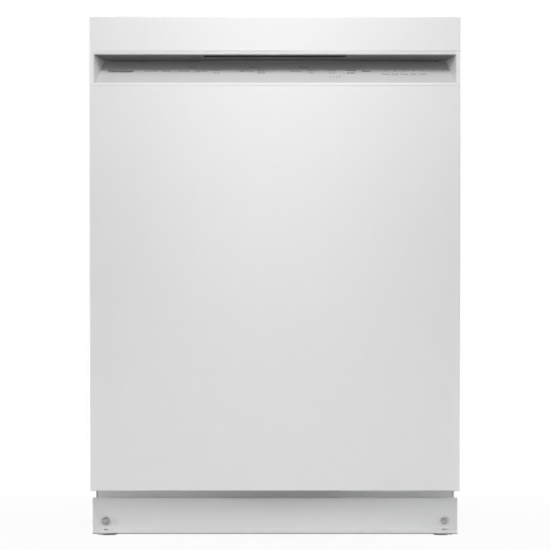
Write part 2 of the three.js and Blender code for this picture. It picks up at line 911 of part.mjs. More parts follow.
// The control panel: a flat panel that rises from the sill to the back of the ceiling.
function controlFascia() {
  const run = pocketDepth - 5;
  const rise = ceilingZ(face + pocketDepth) - sill - 1.4;
  const steep = Math.hypot(run, rise);
  const off = [(mouldWall * rise) / steep, (-mouldWall * run) / steep];
  const start = [face + 5, sill + gap];
  const slab = alongX(
    outline([
      start,
      [start[0] + run - gap, start[1] + rise],
      [start[0] + run - gap, start[1] + rise - 3.6],
      [start[0] + off[0], start[1] + off[1] + 1.4],
    ]),
    [-mouthHalf, mouthHalf],
  );
  const between = alongZ(
    outline([
      [-mouthHalf + play, face],
      [mouthHalf - play, face],
      [rearHalf - play, face + pocketDepth],
      [-rearHalf + play, face + pocketDepth],
    ]),
    [low, high],
  );
  return slab.intersect(between);
}

function doorLiner() {
  const bottom = low + 21;
  const top = high - 2;
  const rimFront = face + pocketDepth + 1;
  const rim = [[-linerHalf, linerHalf], [rimFront, linerFace], [bottom, top]];
  const pressX = [-tubHalf + 6, tubHalf - 6];
  const pressZ = [tubLedge + 5 - hingeZ, tubTop - 7 - hingeZ];
  const outer = join([
    block(...rim),
    pressedBlock(pressX, [linerFace - 1, linerFace + linerPress], pressZ, { name: "y", end: 1 }, 6),
  ]);
  const t = linerSheet;
  const inner = join([
    block([-linerHalf + t, linerHalf - t], [rimFront - 1, linerFace - t], [bottom + t, top - t]),
    pressedBlock(
      [pressX[0] + t, pressX[1] - t],
      [linerFace - t - 1, linerFace + linerPress - t],
      [pressZ[0] + t, pressZ[1] - t],
      { name: "y", end: 1 },
      6,
    ),
  ]);
  const recess = block(
    [dispenserX - dispenserHalf - gap, dispenserX + dispenserHalf + gap],
    [face, linerFace + 40],
    [dispenserZ - dispenserTall - gap, dispenserZ + dispenserTall + gap],
  );
  const strikeNotch = block([-24, 24], [face, linerFace + 2], [tongueZ[0] - 5 - hingeZ, high]);
  return outer.subtract(inner).subtract(recess).subtract(strikeNotch);
}

const dispenserX = -10;
const dispenserZ = 470 - hingeZ;
const dispenserHalf = 88;
const dispenserTall = 58;
const dispenserFront = linerFace + linerPress + 2.5;
const cupX = [dispenserX - 74, dispenserX + 2];
const cupZ = [dispenserZ - 42, dispenserZ + 2];

function dispenser() {
  const body = block(
    [dispenserX - dispenserHalf, dispenserX + dispenserHalf],
    [linerFace - 22, dispenserFront],
    [dispenserZ - dispenserTall, dispenserZ + dispenserTall],
  );
  const cup = block(cupX, [dispenserFront - 26, dispenserFront + 1], cupZ);
  return body.subtract(cup);
}

function dispenserLid() {
  const y = [dispenserFront + gap, dispenserFront + gap + 3.2];
  const plate = block([cupX[0] - 4, cupX[1] + 4], y, [cupZ[0] - 4, cupZ[1] + 4]);
  const grip = block([cupX[0] + 20, cupX[1] - 20], [y[1] - 0.5, y[1] + 1.6], [cupZ[0] + 2, cupZ[0] + 8]);
  return plate.add(grip);
}

const capX = dispenserX + 48;
const capZ = dispenserZ + 12;

function rinseCap() {
  const disc = rod([0, dispenserFront + gap, 0], [0, dispenserFront + 3, 0], 18, 24);
  const grip = block([-13, 13], [dispenserFront + 2, dispenserFront + 6], [-3, 3]);
  return disc.add(grip);
}

function doorInsulation() {
  return block([-half + 28, half - 28], [face + 6, face + 16], [low + 26, lowerSeam - 30]);
}

function controlBoard() {
  const top = lowerSeam - 4;
  const body = block([-150, 150], [face + 19, linerFace - 8], [top - 46, top - 8]);
  const lid = block([-144, 144], [face + 24, linerFace - 12], [top - 9, top - 2]);
  return body.add(lid);
}

function hingeArm() {
  const plate = new THREE.Shape();
  plate.moveTo(-30, hingeArmHeight);
  plate.lineTo(-30, 34);
  plate.absarc(0, 0, hingeDisc, Math.PI, 2.5 * Math.PI, false);
  plate.lineTo(-10, 34);
  plate.lineTo(-10, hingeArmHeight);
  const eye = new THREE.Path();
  eye.absarc(0, 0, hingePin + play, 0, 2 * Math.PI, true);
  plate.holes.push(eye);
  return alongX(plate, [hingeArmOuter - armSheet, hingeArmOuter], 12);
}

const latchZ = [tongueZ[0] - 15 - hingeZ, high - 2 - linerSheet - gap];
const plungerY = [frameFront - hingeY - gap - 20.5, frameFront - hingeY - gap - 12.5];

function latchHousing() {
  const body = block([-42, 42], [face + 12, linerFace - linerSheet - gap], latchZ);
  const slot = block(
    [-21, 21],
    [linerFace - 28, linerFace + 2],
    [tongueZ[0] - 2.5 - hingeZ, tongueZ[1] + 3.2 - hingeZ],
  );
  const bore = block(
    [-4 - play, 4 + play],
    [plungerY[0] - play, plungerY[1] + play],
    [latchZ[0] - 1, tongueZ[0] - 2 - hingeZ],
  );
  return body.subtract(slot).subtract(bore);
}

function latchPlunger() {
  const top = tongueZ[0] - play - hingeZ;
  const stem = block([-4, 4], plungerY, [latchZ[0] - 3, top - 2]);
  const nose = pressedBlock([-4, 4], plungerY, [top - 3, top], { name: "z", end: 1 }, 1.5);
  return stem.add(nose);
}

function bottomSeal() {
  const z = [3, tubLedge - 2 - hingeZ];
  return block([-tubHalf - 5, tubHalf + 5], [linerFace + gap, linerFace + sealGap - gap], z);
}

// =====================================================================
// Racks. Their axes start in the middle of the rack's floor.
// =====================================================================

const rackY = [rackFront - sumpY, rackBack - sumpY];
const wire = (x, y, z) => {
  const t = wireSize / 2;
  const span = (v) => (Array.isArray(v) ? v : [v - t, v + t]);
  return block(span(x), span(y), span(z));
};
const evenly = (from, to, count) =>
  Array.from({ length: count }, (unused, i) => from + ((to - from) * i) / (count - 1));

// An open basket of bars: a floor grid, a rim, posts between them, and rows of tines.
function wireBasket({ rim, frontRim, lanes, crossings, tineRows, tineX, tines }) {
  const x = rackHalf - wireSize / 2;
  const [y0, y1] = [rackY[0] + wireSize / 2, rackY[1] - wireSize / 2];
  const bars = [];
  for (const laneX of evenly(-x, x, lanes)) bars.push(wire(laneX, rackY, 0));
  for (const crossY of evenly(y0, y1, crossings)) bars.push(wire([-rackHalf, rackHalf], crossY, -2.4));
  for (const side of [-x, x]) bars.push(wire(side, rackY, rim));
  bars.push(wire([-rackHalf, rackHalf], y1, rim));
  bars.push(wire([-rackHalf, rackHalf], y0, frontRim));
  for (const side of [-x, x])
    for (const postY of evenly(y0, y1, 4)) bars.push(wire(side, postY, [-2, rim + wireSize / 2]));
  for (const postX of evenly(-x, x, lanes).slice(1, -1)) {
    bars.push(wire(postX, y0, [-2, frontRim + wireSize / 2]));
    bars.push(wire(postX, y1, [-2, rim + wireSize / 2]));
  }
  for (const rowY of tineRows) {
    bars.push(wire([-rackHalf, rackHalf], rowY, -2.4));
    for (const tx of evenly(tineX[0], tineX[1], tines)) bars.push(wire(tx, rowY, [-2, tineHeight]));
  }
  return join(bars);
}

const lowerTineRows = [-95, -15];
const foldRowY = 65;

const wheelRadius = 14;

// A wheel on a stub, standing on the tub's ledge.
function rackWheel(sign, y) {
  const z = tubLedge + gap + wheelRadius - lowerRackZ;
  const x = rackHalf - wireSize / 2;
  const disc = rod([sign * (x - 3), y, z], [sign * (x + 7), y, z], wheelRadius, 14);
  const stub = wire([sign < 0 ? -x - 2 : x - 2, sign < 0 ? -x + 2 : x + 2], y, [z, 0]);
  return disc.add(stub);
}

function lowerRack() {
  const basket = wireBasket({
    rim: deepRim,
    frontRim: deepRim - 62,
    lanes: 6,
    crossings: 4,
    tineRows: lowerTineRows,
    tineX: [-210, 210],
    tines: 6,
  });
  const wheels = sides.flatMap(({ sign }) => [-165, 165].map((y) => rackWheel(sign, y)));
  return join([basket, ...wheels]);
}

// Tines on a rod of their own, which folds back to lie over the floor.
function foldingTines() {
  const x = 210;
  const shaft = rod([-x - 14, 0, 0], [x + 14, 0, 0], 2.4, 8);
  const tines = evenly(-x, x, 7).map((tx) => block([tx - 2, tx + 2], [-2, 2], [0, tineHeight - 8]));
  return join([shaft, ...tines]);
}

const basketX = [-205, 205];
const basketY = [rackY[0] + 12, rackY[0] + 72];
const basketZ = [5, 122];
const basketWall = 2.4;
const basketCells = 4;

function silverwareBasket() {
  const outer = block(basketX, basketY, basketZ);
  const cellWidth = (basketX[1] - basketX[0] - basketWall * (basketCells + 1)) / basketCells;
  const cells = Array.from({ length: basketCells }, (unused, i) => {
    const x = basketX[0] + basketWall + i * (cellWidth + basketWall);
    return block(
      [x, x + cellWidth],
      [basketY[0] + basketWall, basketY[1] - basketWall],
      [basketZ[0] + basketWall, basketZ[1] + 1],
    );
  });
  const posts = [-62, 62].map((x) =>
    block([x - 4, x + 4], [basketY[1] - basketWall, basketY[1] + 2], [basketZ[1] - 30, basketZ[1] + 30]),
  );
  const bar = block([-66, 66], [basketY[1] - basketWall, basketY[1] + 2], [basketZ[1] + 22, basketZ[1] + 30]);
  return join([outer.subtract(join(cells)), ...posts, bar]);
}

const upperTineRows = [-110, 0, 110];

// The upper basket carries the water manifold that feeds its spray arm.
function upperRack() {
  const basket = wireBasket({
    rim: shallowRim,
    frontRim: shallowRim - 30,
    lanes: 6,
    crossings: 4,
    tineRows: upperTineRows,
    tineX: [-128, 128],
    tines: 4,
  });
  const z = [upperArmZ + armThick + 2 - upperRackZ, -4];
  const duct = block([-14, 14], [-20, rackY[1]], [z[1] - 12, z[1]]);
  const hub = rod([0, 0, z[0] - 1], [0, 0, z[1] - 1], 16, 16);
  const portZ = feedPortZ - upperRackZ;
  const port = rod([0, rackY[1] - 8, portZ], [0, rackY[1] + 2, portZ], 12, 12);
  return join([basket, duct, hub, port]);
}

const shelfLength = 380;
const shelfWidth = 92;

// A cup shelf: a rod frame that hangs on the rim's inside and folds up against the wall.
function cupShelf() {
  const y = shelfLength / 2;
  const bars = [
    wire(-wireSize / 2, [-y, y], 0),
    wire(-shelfWidth, [-y, y], 0),
    ...evenly(-y + 2, y - 2, 6).map((barY) => wire([-shelfWidth, 0], barY, 0)),
  ];
  return join(bars);
}

// =====================================================================
// Put together
// =====================================================================

piece(chassis, "tub_wrapper", tubWrapper(), stainless);
piece(chassis, "tub_back", tubRear(), stainless);
piece(chassis, "tub_floor", tubBottom(), stainless);
piece(chassis, "front_frame", frontFrame(), galvanised);
piece(chassis, "door_gasket", doorGasket(), blackRubber);
piece(chassis, "sound_blanket", soundBlanket(), feltGrey);
piece(chassis, "front_crossmember", crossMember([accessFace + 6, accessFace + 30]), galvanised);
piece(chassis, "rear_crossmember", crossMember([tubBack - 22, tubBack + 2]), galvanised);
piece(chassis, "access_panel", accessPanel(), whitePaint);
piece(chassis, "toe_panel", toePanel(), whitePaint);
piece(chassis, "sump_housing", sumpHousing(), darkPlastic, [sumpX, sumpY, 0]);
piece(chassis, "coarse_filter", coarseFilter(), stainless, [sumpX, sumpY, tubFloor]);
piece(chassis, "filter_cup", filterCup(), greyPlastic, [filterX, filterY, tubFloor]);
piece(chassis, "float_dome", floatDome(), greyPlastic, [floatX, floatY, tubFloor + gap]);
piece(chassis, "heating_element", heatingElement(), springSteel);
piece(chassis, "feed_tube", feedTube(), greyPlastic);
piece(chassis, "wash_motor", washMotor(), darkPlastic);
piece(chassis, "drain_pump", drainPump(), darkPlastic);
piece(chassis, "inlet_valve", inletValve(), greyPlastic);
piece(chassis, "fill_hose", fillHose(), hoseGrey);
piece(chassis, "drain_hose", drainHose(), hoseGrey);
piece(chassis, "junction_box", junctionBox(), galvanised);
piece(chassis, "strike_plate", strikePlate(), galvanised);
piece(chassis, "lower_spray_arm", lowerSprayArm(), greyPlastic, [sumpX, sumpY, lowerArmZ]);
for (const { name, sign } of sides) {
  piece(chassis, `side_rail_${name}`, mirrored(sideRail(), sign), galvanised);
  piece(chassis, `door_spring_${name}`, mirrored(doorSpring(), sign), springSteel);
  piece(chassis, `rack_rail_${name}`, mirrored(rackRail(), sign), stainless);
  piece(chassis, `worktop_bracket_${name}`, worktopBracket(), galvanised, [sign * 205, 0, 0]);
  piece(chassis, `toe_screw_${name}`, toeScrew(), galvanised, [sign * screwX, front + toeSetback, screwZ]);
  piece(chassis, `foot_front_${name}`, levellingFoot(), galvanised, [sign * footX, footFrontY, 0]);
  piece(chassis, `foot_rear_${name}`, levellingFoot(), galvanised, [sign * footX, footRearY, 0]);
  piece(door, `hinge_arm_${name}`, mirrored(hingeArm(), sign), galvanised);
}

piece(door, "door_skin", doorSkin(), whitePaint);
piece(door, "top_band", topBand(), whitePaint);
piece(door, "pocket_moulding", pocketMoulding(), whiteMoulding);
piece(door, "control_fascia", controlFascia(), silverFilm);
piece(door, "control_board", controlBoard(), darkPlastic);
piece(door, "door_liner", doorLiner(), stainless);
piece(door, "door_insulation", doorInsulation(), feltGrey);
piece(door, "dispenser", dispenser(), greyPlastic);
piece(door, "dispenser_lid", dispenserLid(), greyPlastic);
piece(door, "rinse_cap", rinseCap(), greyPlastic, [capX, 0, capZ]);
piece(door, "latch_housing", latchHousing(), darkPlastic);
piece(door, "latch_plunger", latchPlunger(), greyPlastic);
piece(door, "door_bottom_seal", bottomSeal(), blackRubber);

piece(lowerRackGroup, "lower_rack", lowerRack(), coatedWire);
piece(lowerRackGroup, "folding_tines", foldingTines(), coatedWire, [0, foldRowY, 6]);
piece(lowerRackGroup, "silverware_basket", silverwareBasket(), greyPlastic);
piece(upperRackGroup, "upper_rack", upperRack(), coatedWire);
piece(upperRackGroup, "upper_spray_arm", upperSprayArm(), greyPlastic, [0, 0, upperArmZ - upperRackZ]);
for (const { name, sign } of sides)
  piece(upperRackGroup, `cup_shelf_${name}`, mirrored(cupShelf(), sign), coatedWire, [
    sign * (rackHalf - wireSize - 3),
    0,
    shallowRim + 9,
  ]);

export default dishwasher;
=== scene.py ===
import json
import math

import bmesh
import bpy
from mathutils import Matrix, Vector, noise

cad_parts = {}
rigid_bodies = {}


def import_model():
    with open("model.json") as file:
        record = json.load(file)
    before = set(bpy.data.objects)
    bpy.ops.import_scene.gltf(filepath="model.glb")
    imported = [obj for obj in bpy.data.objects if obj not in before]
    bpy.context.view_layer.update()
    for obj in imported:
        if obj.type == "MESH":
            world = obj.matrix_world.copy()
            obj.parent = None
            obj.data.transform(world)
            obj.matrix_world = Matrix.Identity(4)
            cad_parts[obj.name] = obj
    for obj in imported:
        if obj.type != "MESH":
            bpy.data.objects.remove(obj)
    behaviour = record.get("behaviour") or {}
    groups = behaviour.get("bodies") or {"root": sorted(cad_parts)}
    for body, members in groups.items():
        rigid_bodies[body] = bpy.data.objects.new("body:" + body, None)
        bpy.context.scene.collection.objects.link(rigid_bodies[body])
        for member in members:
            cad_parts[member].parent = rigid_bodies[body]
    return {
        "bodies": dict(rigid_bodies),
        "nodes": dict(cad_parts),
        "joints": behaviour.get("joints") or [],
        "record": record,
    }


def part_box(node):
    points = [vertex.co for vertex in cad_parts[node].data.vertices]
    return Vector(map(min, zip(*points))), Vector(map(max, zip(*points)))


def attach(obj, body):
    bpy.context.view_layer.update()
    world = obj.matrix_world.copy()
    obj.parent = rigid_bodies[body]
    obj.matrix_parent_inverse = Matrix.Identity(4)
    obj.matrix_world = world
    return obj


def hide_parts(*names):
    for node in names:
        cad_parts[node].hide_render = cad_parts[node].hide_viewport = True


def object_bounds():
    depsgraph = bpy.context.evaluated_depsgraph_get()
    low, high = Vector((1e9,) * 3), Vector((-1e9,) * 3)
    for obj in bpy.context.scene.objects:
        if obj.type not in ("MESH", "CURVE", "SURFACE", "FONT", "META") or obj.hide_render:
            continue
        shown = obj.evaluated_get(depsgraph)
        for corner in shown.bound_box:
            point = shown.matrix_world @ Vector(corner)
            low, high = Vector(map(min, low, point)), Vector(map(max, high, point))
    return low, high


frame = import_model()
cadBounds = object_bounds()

nodes = frame["nodes"]
scene = bpy.context.scene
mm = 0.001

# shader nodes


def addNode(tree, kind, values=None, **settings):
    node = tree.nodes.new(kind)
    for key, value in settings.items():
        setattr(node, key, value)
    for key, value in (values or {}).items():
        node.inputs[key].default_value = value
    return node


def wire(tree, start, end):
    tree.links.new(start, end)


def addMath(tree, operation, a, b=None, clamp=False):
    node = addNode(tree, "ShaderNodeMath", operation=operation, use_clamp=clamp)
    for slotIndex, value in enumerate([a, b]):
        if value is None:
            continue
        if isinstance(value, (int, float)):
            node.inputs[slotIndex].default_value = value
        else:
            wire(tree, value, node.inputs[slotIndex])
    return node.outputs[0]


# A socket's value moved from one reach to another.
def ranged(tree, source, low, high, reach=(0, 1)):
    values = {"From Min": reach[0], "From Max": reach[1], "To Min": low, "To Max": high}
    node = addNode(tree, "ShaderNodeMapRange", values)
    wire(tree, source, node.inputs["Value"])
    return node.outputs["Result"]


def newFinish(name, **sockets):
    made = bpy.data.materials.new(name)
    made.use_nodes = True
    tree = made.node_tree
    shader = tree.nodes["Principled BSDF"]
    for key, value in sockets.items():
        shader.inputs[key.replace("_", " ")].default_value = value
    return made, tree, shader


# camera

cameraView = {"lens": 240, "sensor": 36, "distance": 6.0, "height": 0.4347}


def makeCamera(v):
    data = bpy.data.cameras.new("camera")
    data.lens = v["lens"]
    data.sensor_width = v["sensor"]
    data.clip_end = 60
    cam = bpy.data.objects.new("camera", data)
    cam.location = (0, cadBounds[0][1] - v["distance"], v["height"])
    cam.rotation_euler = (math.radians(90), 0, 0)  # level, looking along +Y
    scene.collection.objects.link(cam)
    scene.camera = cam


makeCamera(cameraView)

# studio: pale floor, white surround, soft lights

studio = {
    "roomWhite": 1.0,  # what the camera sees behind the machine
    "roomLow": 0.22,  # what the room gives the machine, from level
    "roomHigh": 0.48,  # and from straight above
    "floorNear": 0.38,  # how pale the paper is round the machine
    "floorFar": 0.35,
    "floorGlow": 0.95,  # how far the camera sees the paper burnt out to white
    "floorSize": 40,
    "floorDrop": 0.0006,  # metres under the lowest solid
    "paleReach": (0.5, 1.1),  # metres from the middle
    "glowReach": (0.45, 1.3),
    "lights": [
        # name, place, aim, size x and y, watts, spread in degrees
        ("keyBox", (0.0, -2.05, 2.60), (0.0, -0.31, 0.86), 0.5, 0.9, 4.0, 46),
        ("frontStrip", (0.0, -1.65, 0.95), (0.0, -0.31, 0.50), 0.3, 1.2, 1.9, 150),
        ("toeStrip", (0.0, -0.295, 0.004), (0.0, -0.222, 0.03), 0.6, 0.004, 0.022, 100),
        ("leftLow", (-1.9, -0.42, 0.20), (0.0, -0.2, 0.07), 0.3, 0.3, 1.0, 26),
        ("rightLow", (1.9, -0.42, 0.20), (0.0, -0.2, 0.07), 0.3, 0.3, 1.0, 26),
        ("leftBox", (-2.6, 0.9, 1.7), (0.0, 0.1, 0.45), 1.6, 1.8, 26, 150),
        ("rightBox", (2.6, 0.9, 1.5), (0.0, 0.1, 0.45), 1.6, 1.8, 20, 150),
        ("backBox", (0.6, 3.0, 1.8), (0.0, 0.2, 0.45), 1.8, 1.6, 34, 150),
    ],
}


def makeRoom(s):
    world = bpy.data.worlds.new("room")
    scene.world = world
    world.use_nodes = True
    tree = world.node_tree
    tree.nodes.clear()
    out = addNode(tree, "ShaderNodeOutputWorld")
    background = addNode(tree, "ShaderNodeBackground", {"Color": (1, 1, 1, 1)})
    rays = addNode(tree, "ShaderNodeLightPath")
    direction = addNode(tree, "ShaderNodeTexCoord")
    parts = addNode(tree, "ShaderNodeSeparateXYZ")
    wire(tree, direction.outputs["Generated"], parts.inputs[0])
    height = ranged(tree, parts.outputs["Z"], s["roomLow"], s["roomHigh"])
    level = addNode(tree, "ShaderNodeMapRange", {"To Max": s["roomWhite"]})
    wire(tree, height, level.inputs["To Min"])
    wire(tree, rays.outputs["Is Camera Ray"], level.inputs["Value"])
    wire(tree, level.outputs["Result"], background.inputs["Strength"])
    wire(tree, background.outputs["Background"], out.inputs["Surface"])


# White paper under the machine. The camera sees it nearly burnt out, so it joins the white room.
def makeFloor(s):
    mesh = bpy.data.meshes.new("floor")
    half = s["floorSize"] / 2
    corners = [(-half, -half, 0), (half, -half, 0), (half, half, 0), (-half, half, 0)]
    mesh.from_pydata(corners, [], [(0, 1, 2, 3)])
    floor = bpy.data.objects.new("floor", mesh)
    scene.collection.objects.link(floor)
    floor.location.z = cadBounds[0][2] - s["floorDrop"]
    paper, tree, shader = newFinish("floorPaper", Roughness=0.9, Specular_IOR_Level=0.1)
    place = addNode(tree, "ShaderNodeTexCoord")
    away = addNode(tree, "ShaderNodeVectorMath", operation="LENGTH")
    wire(tree, place.outputs["Object"], away.inputs[0])
    pale = ranged(tree, away.outputs["Value"], s["floorNear"], s["floorFar"], s["paleReach"])
    wire(tree, pale, shader.inputs["Base Color"])
    glow = ranged(tree, away.outputs["Value"], s["floorGlow"], 1.0, s["glowReach"])
    rays = addNode(tree, "ShaderNodeLightPath")
    share = addMath(tree, "MULTIPLY", rays.outputs["Is Camera Ray"], glow)
    white = addNode(tree, "ShaderNodeEmission", {"Color": (1, 1, 1, 1)})
    mixed = addNode(tree, "ShaderNodeMixShader")
    wire(tree, share, mixed.inputs[0])
    wire(tree, shader.outputs[0], mixed.inputs[1])
    wire(tree, white.outputs[0], mixed.inputs[2])
    wire(tree, mixed.outputs[0], tree.nodes["Material Output"].inputs["Surface"])
    mesh.materials.append(paper)


def makeLights(s):
    for name, place, aim, sizeX, sizeY, watts, spread in s["lights"]:
        data = bpy.data.lights.new(name, "AREA")
        data.shape = "RECTANGLE"
        data.size = sizeX
        data.size_y = sizeY
        data.energy = watts
        data.spread = math.radians(spread)
        lamp = bpy.data.objects.new(name, data)
        lamp.location = place
        lamp.rotation_euler = (Vector(aim) - Vector(place)).to_track_quat("-Z", "Y").to_euler()
        lamp.visible_camera = False
        scene.collection.objects.link(lamp)
    scene.view_settings.view_transform = "Standard"
    scene.view_settings.look = "None"


makeRoom(studio)
makeFloor(studio)
makeLights(studio)
print("studio ready")

# shader groups that several finishes share


def makeGroup(name, inputs, outputs):
    tree = bpy.data.node_groups.new(name, "ShaderNodeTree")
    for label, kind, value in inputs:
        socket = tree.interface.new_socket(name=label, in_out="INPUT", socket_type=kind)
        socket.default_value = value
    for label, kind in outputs:
        tree.interface.new_socket(name=label, in_out="OUTPUT", socket_type=kind)
    return tree, tree.nodes.new("NodeGroupInput"), tree.nodes.new("NodeGroupOutput")


def scaledPlace(tree, amount, stretch=None):
    place = addNode(tree, "ShaderNodeTexCoord").outputs["Object"]
    if stretch is not None:
        across = addNode(tree, "ShaderNodeVectorMath", operation="MULTIPLY")
        wire(tree, place, across.inputs[0])
        wire(tree, stretch, across.inputs[1])
        place = across.outputs[0]
    grown = addNode(tree, "ShaderNodeVectorMath", operation="SCALE")
    wire(tree, place, grown.inputs[0])
    wire(tree, amount, grown.inputs["Scale"])
    return grown.outputs[0]


# Two sizes of soft ripple, as sprayed and baked enamel has.
def makeOrangePeel():
    tree, start, end = makeGroup(
        "orangePeel",
        [("Scale", "NodeSocketFloat", 420), ("Long Wave", "NodeSocketFloat", 60)],
        [("Height", "NodeSocketFloat"), ("Mottle", "NodeSocketFloat")],
    )
    fine = addNode(tree, "ShaderNodeTexNoise", {"Scale": 1, "Detail": 1.5, "Roughness": 0.45})
    wire(tree, scaledPlace(tree, start.outputs["Scale"]), fine.inputs["Vector"])
    slow = addNode(tree, "ShaderNodeTexNoise", {"Scale": 1, "Detail": 2.0})
    wire(tree, scaledPlace(tree, start.outputs["Long Wave"]), slow.inputs["Vector"])
    mixed = addMath(tree, "MULTIPLY_ADD", fine.outputs["Fac"], 0.6)
    wire(tree, slow.outputs["Fac"], mixed.node.inputs[2])
    wire(tree, mixed, end.inputs["Height"])
    wire(tree, slow.outputs["Fac"], end.inputs["Mottle"])
    return tree


# Long fine lines along one way, for brushed sheet.
def makeBrushed():
    tree, start, end = makeGroup(
        "brushedLines",
        [("Scale", "NodeSocketFloat", 900), ("Stretch", "NodeSocketVector", (0.02, 1, 1))],
        [("Height", "NodeSocketFloat"), ("Streak", "NodeSocketFloat"), ("Cloud", "NodeSocketFloat")],
    )
    place = scaledPlace(tree, start.outputs["Scale"], start.outputs["Stretch"])
    lines = addNode(tree, "ShaderNodeTexNoise", {"Scale": 1, "Detail": 4.0, "Roughness": 0.65})
    wire(tree, place, lines.inputs["Vector"])
    cloud = addNode(tree, "ShaderNodeTexNoise", {"Scale": 9, "Detail": 3.0})
    wire(tree, addNode(tree, "ShaderNodeTexCoord").outputs["Object"], cloud.inputs["Vector"])
    wire(tree, lines.outputs["Fac"], end.inputs["Height"])
    wire(tree, lines.outputs["Fac"], end.inputs["Streak"])
    wire(tree, cloud.outputs["Fac"], end.inputs["Cloud"])
    return tree


# Spark-eroded mould texture on plastic.
def makeMouldGrain():
    tree, start, end = makeGroup(
        "mouldGrain",
        [("Scale", "NodeSocketFloat", 1400)],
        [("Height", "NodeSocketFloat"), ("Shade", "NodeSocketFloat")],
    )
    place = scaledPlace(tree, start.outputs["Scale"])
    pits = addNode(tree, "ShaderNodeTexVoronoi", {"Scale": 1}, feature="SMOOTH_F1")
    wire(tree, place, pits.inputs["Vector"])
    cloud = addNode(tree, "ShaderNodeTexNoise", {"Scale": 0.02, "Detail": 4.0})
    wire(tree, place, cloud.inputs["Vector"])
    wire(tree, pits.outputs["Distance"], end.inputs["Height"])
    wire(tree, cloud.outputs["Fac"], end.inputs["Shade"])
    return tree


# The crystal flakes of zinc-coated sheet.
def makeSpangle():
    tree, start, end = makeGroup(
        "zincSpangle",
        [("Scale", "NodeSocketFloat", 160)],
        [("Shade", "NodeSocketFloat"), ("Height", "NodeSocketFloat")],
    )
    place = scaledPlace(tree, start.outputs["Scale"])
    flakes = addNode(tree, "ShaderNodeTexVoronoi", {"Scale": 1, "Randomness": 1})
    wire(tree, place, flakes.inputs["Vector"])
    grey = addNode(tree, "ShaderNodeRGBToBW")
    wire(tree, flakes.outputs["Color"], grey.inputs[0])
    fine = addNode(tree, "ShaderNodeTexNoise", {"Scale": 6, "Detail": 3.0})
    wire(tree, place, fine.inputs["Vector"])
    wire(tree, grey.outputs[0], end.inputs["Shade"])
    wire(tree, fine.outputs["Fac"], end.inputs["Height"])
    return tree


# Matted fibres, for felt and insulation.
def makeFibre():
    tree, start, end = makeGroup(
        "mattedFibre",
        [("Scale", "NodeSocketFloat", 700)],
        [("Height", "NodeSocketFloat"), ("Shade", "NodeSocketFloat"), ("Fleck", "NodeSocketFloat")],
    )
    place = scaledPlace(tree, start.outputs["Scale"])
    strands = addNode(tree, "ShaderNodeTexNoise", {"Scale": 1, "Detail": 6.0, "Distortion": 2.5})
    wire(tree, place, strands.inputs["Vector"])
    clumps = addNode(tree, "ShaderNodeTexNoise", {"Scale": 0.07, "Detail": 4.0})
    wire(tree, place, clumps.inputs["Vector"])
    spots = addNode(tree, "ShaderNodeTexVoronoi", {"Scale": 0.3})
    wire(tree, place, spots.inputs["Vector"])
    near = addMath(tree, "LESS_THAN", spots.outputs["Distance"], 0.16)
    wire(tree, strands.outputs["Fac"], end.inputs["Height"])
    wire(tree, clumps.outputs["Fac"], end.inputs["Shade"])
    wire(tree, near, end.inputs["Fleck"])
    return tree


# Rows of round holes, on the plane of the object's x and y coordinates.
def makePerforation():
    tree, start, end = makeGroup(
        "roundHoles",
        [("Pitch", "NodeSocketFloat", 0.004), ("Radius", "NodeSocketFloat", 0.3)],
        [("Hole", "NodeSocketFloat")],
    )
    place = addNode(tree, "ShaderNodeTexCoord").outputs["Object"]
    parts = addNode(tree, "ShaderNodeSeparateXYZ")
    wire(tree, place, parts.inputs[0])
    squares = []
    for axis in ("X", "Y"):
        steps = addMath(tree, "DIVIDE", parts.outputs[axis], start.outputs["Pitch"])
        inCell = addMath(tree, "FRACT", steps)
        off = addMath(tree, "SUBTRACT", inCell, 0.5)
        squares.append(addMath(tree, "MULTIPLY", off, off))
    away = addMath(tree, "SQRT", addMath(tree, "ADD", squares[0], squares[1]))
    wire(tree, addMath(tree, "LESS_THAN", away, start.outputs["Radius"]), end.inputs["Hole"])
    return tree


# Faint handling marks and settled dust.
def makeDust():
    tree, start, end = makeGroup(
        "faintDust",
        [("Scale", "NodeSocketFloat", 14), ("Amount", "NodeSocketFloat", 0.2)],
        [("Mask", "NodeSocketFloat")],
    )
    place = scaledPlace(tree, start.outputs["Scale"])
    cloud = addNode(tree, "ShaderNodeTexNoise", {"Scale": 1, "Detail": 6.0, "Roughness": 0.7})
    wire(tree, place, cloud.inputs["Vector"])
    lifted = addMath(tree, "SUBTRACT", cloud.outputs["Fac"], 0.5, clamp=True)
    wire(tree, addMath(tree, "MULTIPLY", lifted, start.outputs["Amount"]), end.inputs["Mask"])
    return tree


groups = {
    "peel": makeOrangePeel(),
    "brushed": makeBrushed(),
    "grain": makeMouldGrain(),
    "spangle": makeSpangle(),
    "fibre": makeFibre(),
    "holes": makePerforation(),
    "dust": makeDust(),
}

# finishes


def useGroup(tree, name, values=None):
    node = tree.nodes.new("ShaderNodeGroup")
    node.node_tree = groups[name]
    for key, value in (values or {}).items():
        node.inputs[key].default_value = value
    return node


def blendColour(tree, source, dark, light):
    node = addNode(tree, "ShaderNodeMix", data_type="RGBA")
    node.inputs[6].default_value = (*dark, 1)
    node.inputs[7].default_value = (*light, 1)
    wire(tree, source, node.inputs[0])
    return node.outputs[2]


# A flat colour over another where the mask is one.
def laidOver(tree, under, colour, mask):
    node = addNode(tree, "ShaderNodeMix", data_type="RGBA")
    node.inputs[7].default_value = (*colour, 1)
    wire(tree, mask, node.inputs[0])
    wire(tree, under, node.inputs[6])
    return node.outputs[2]


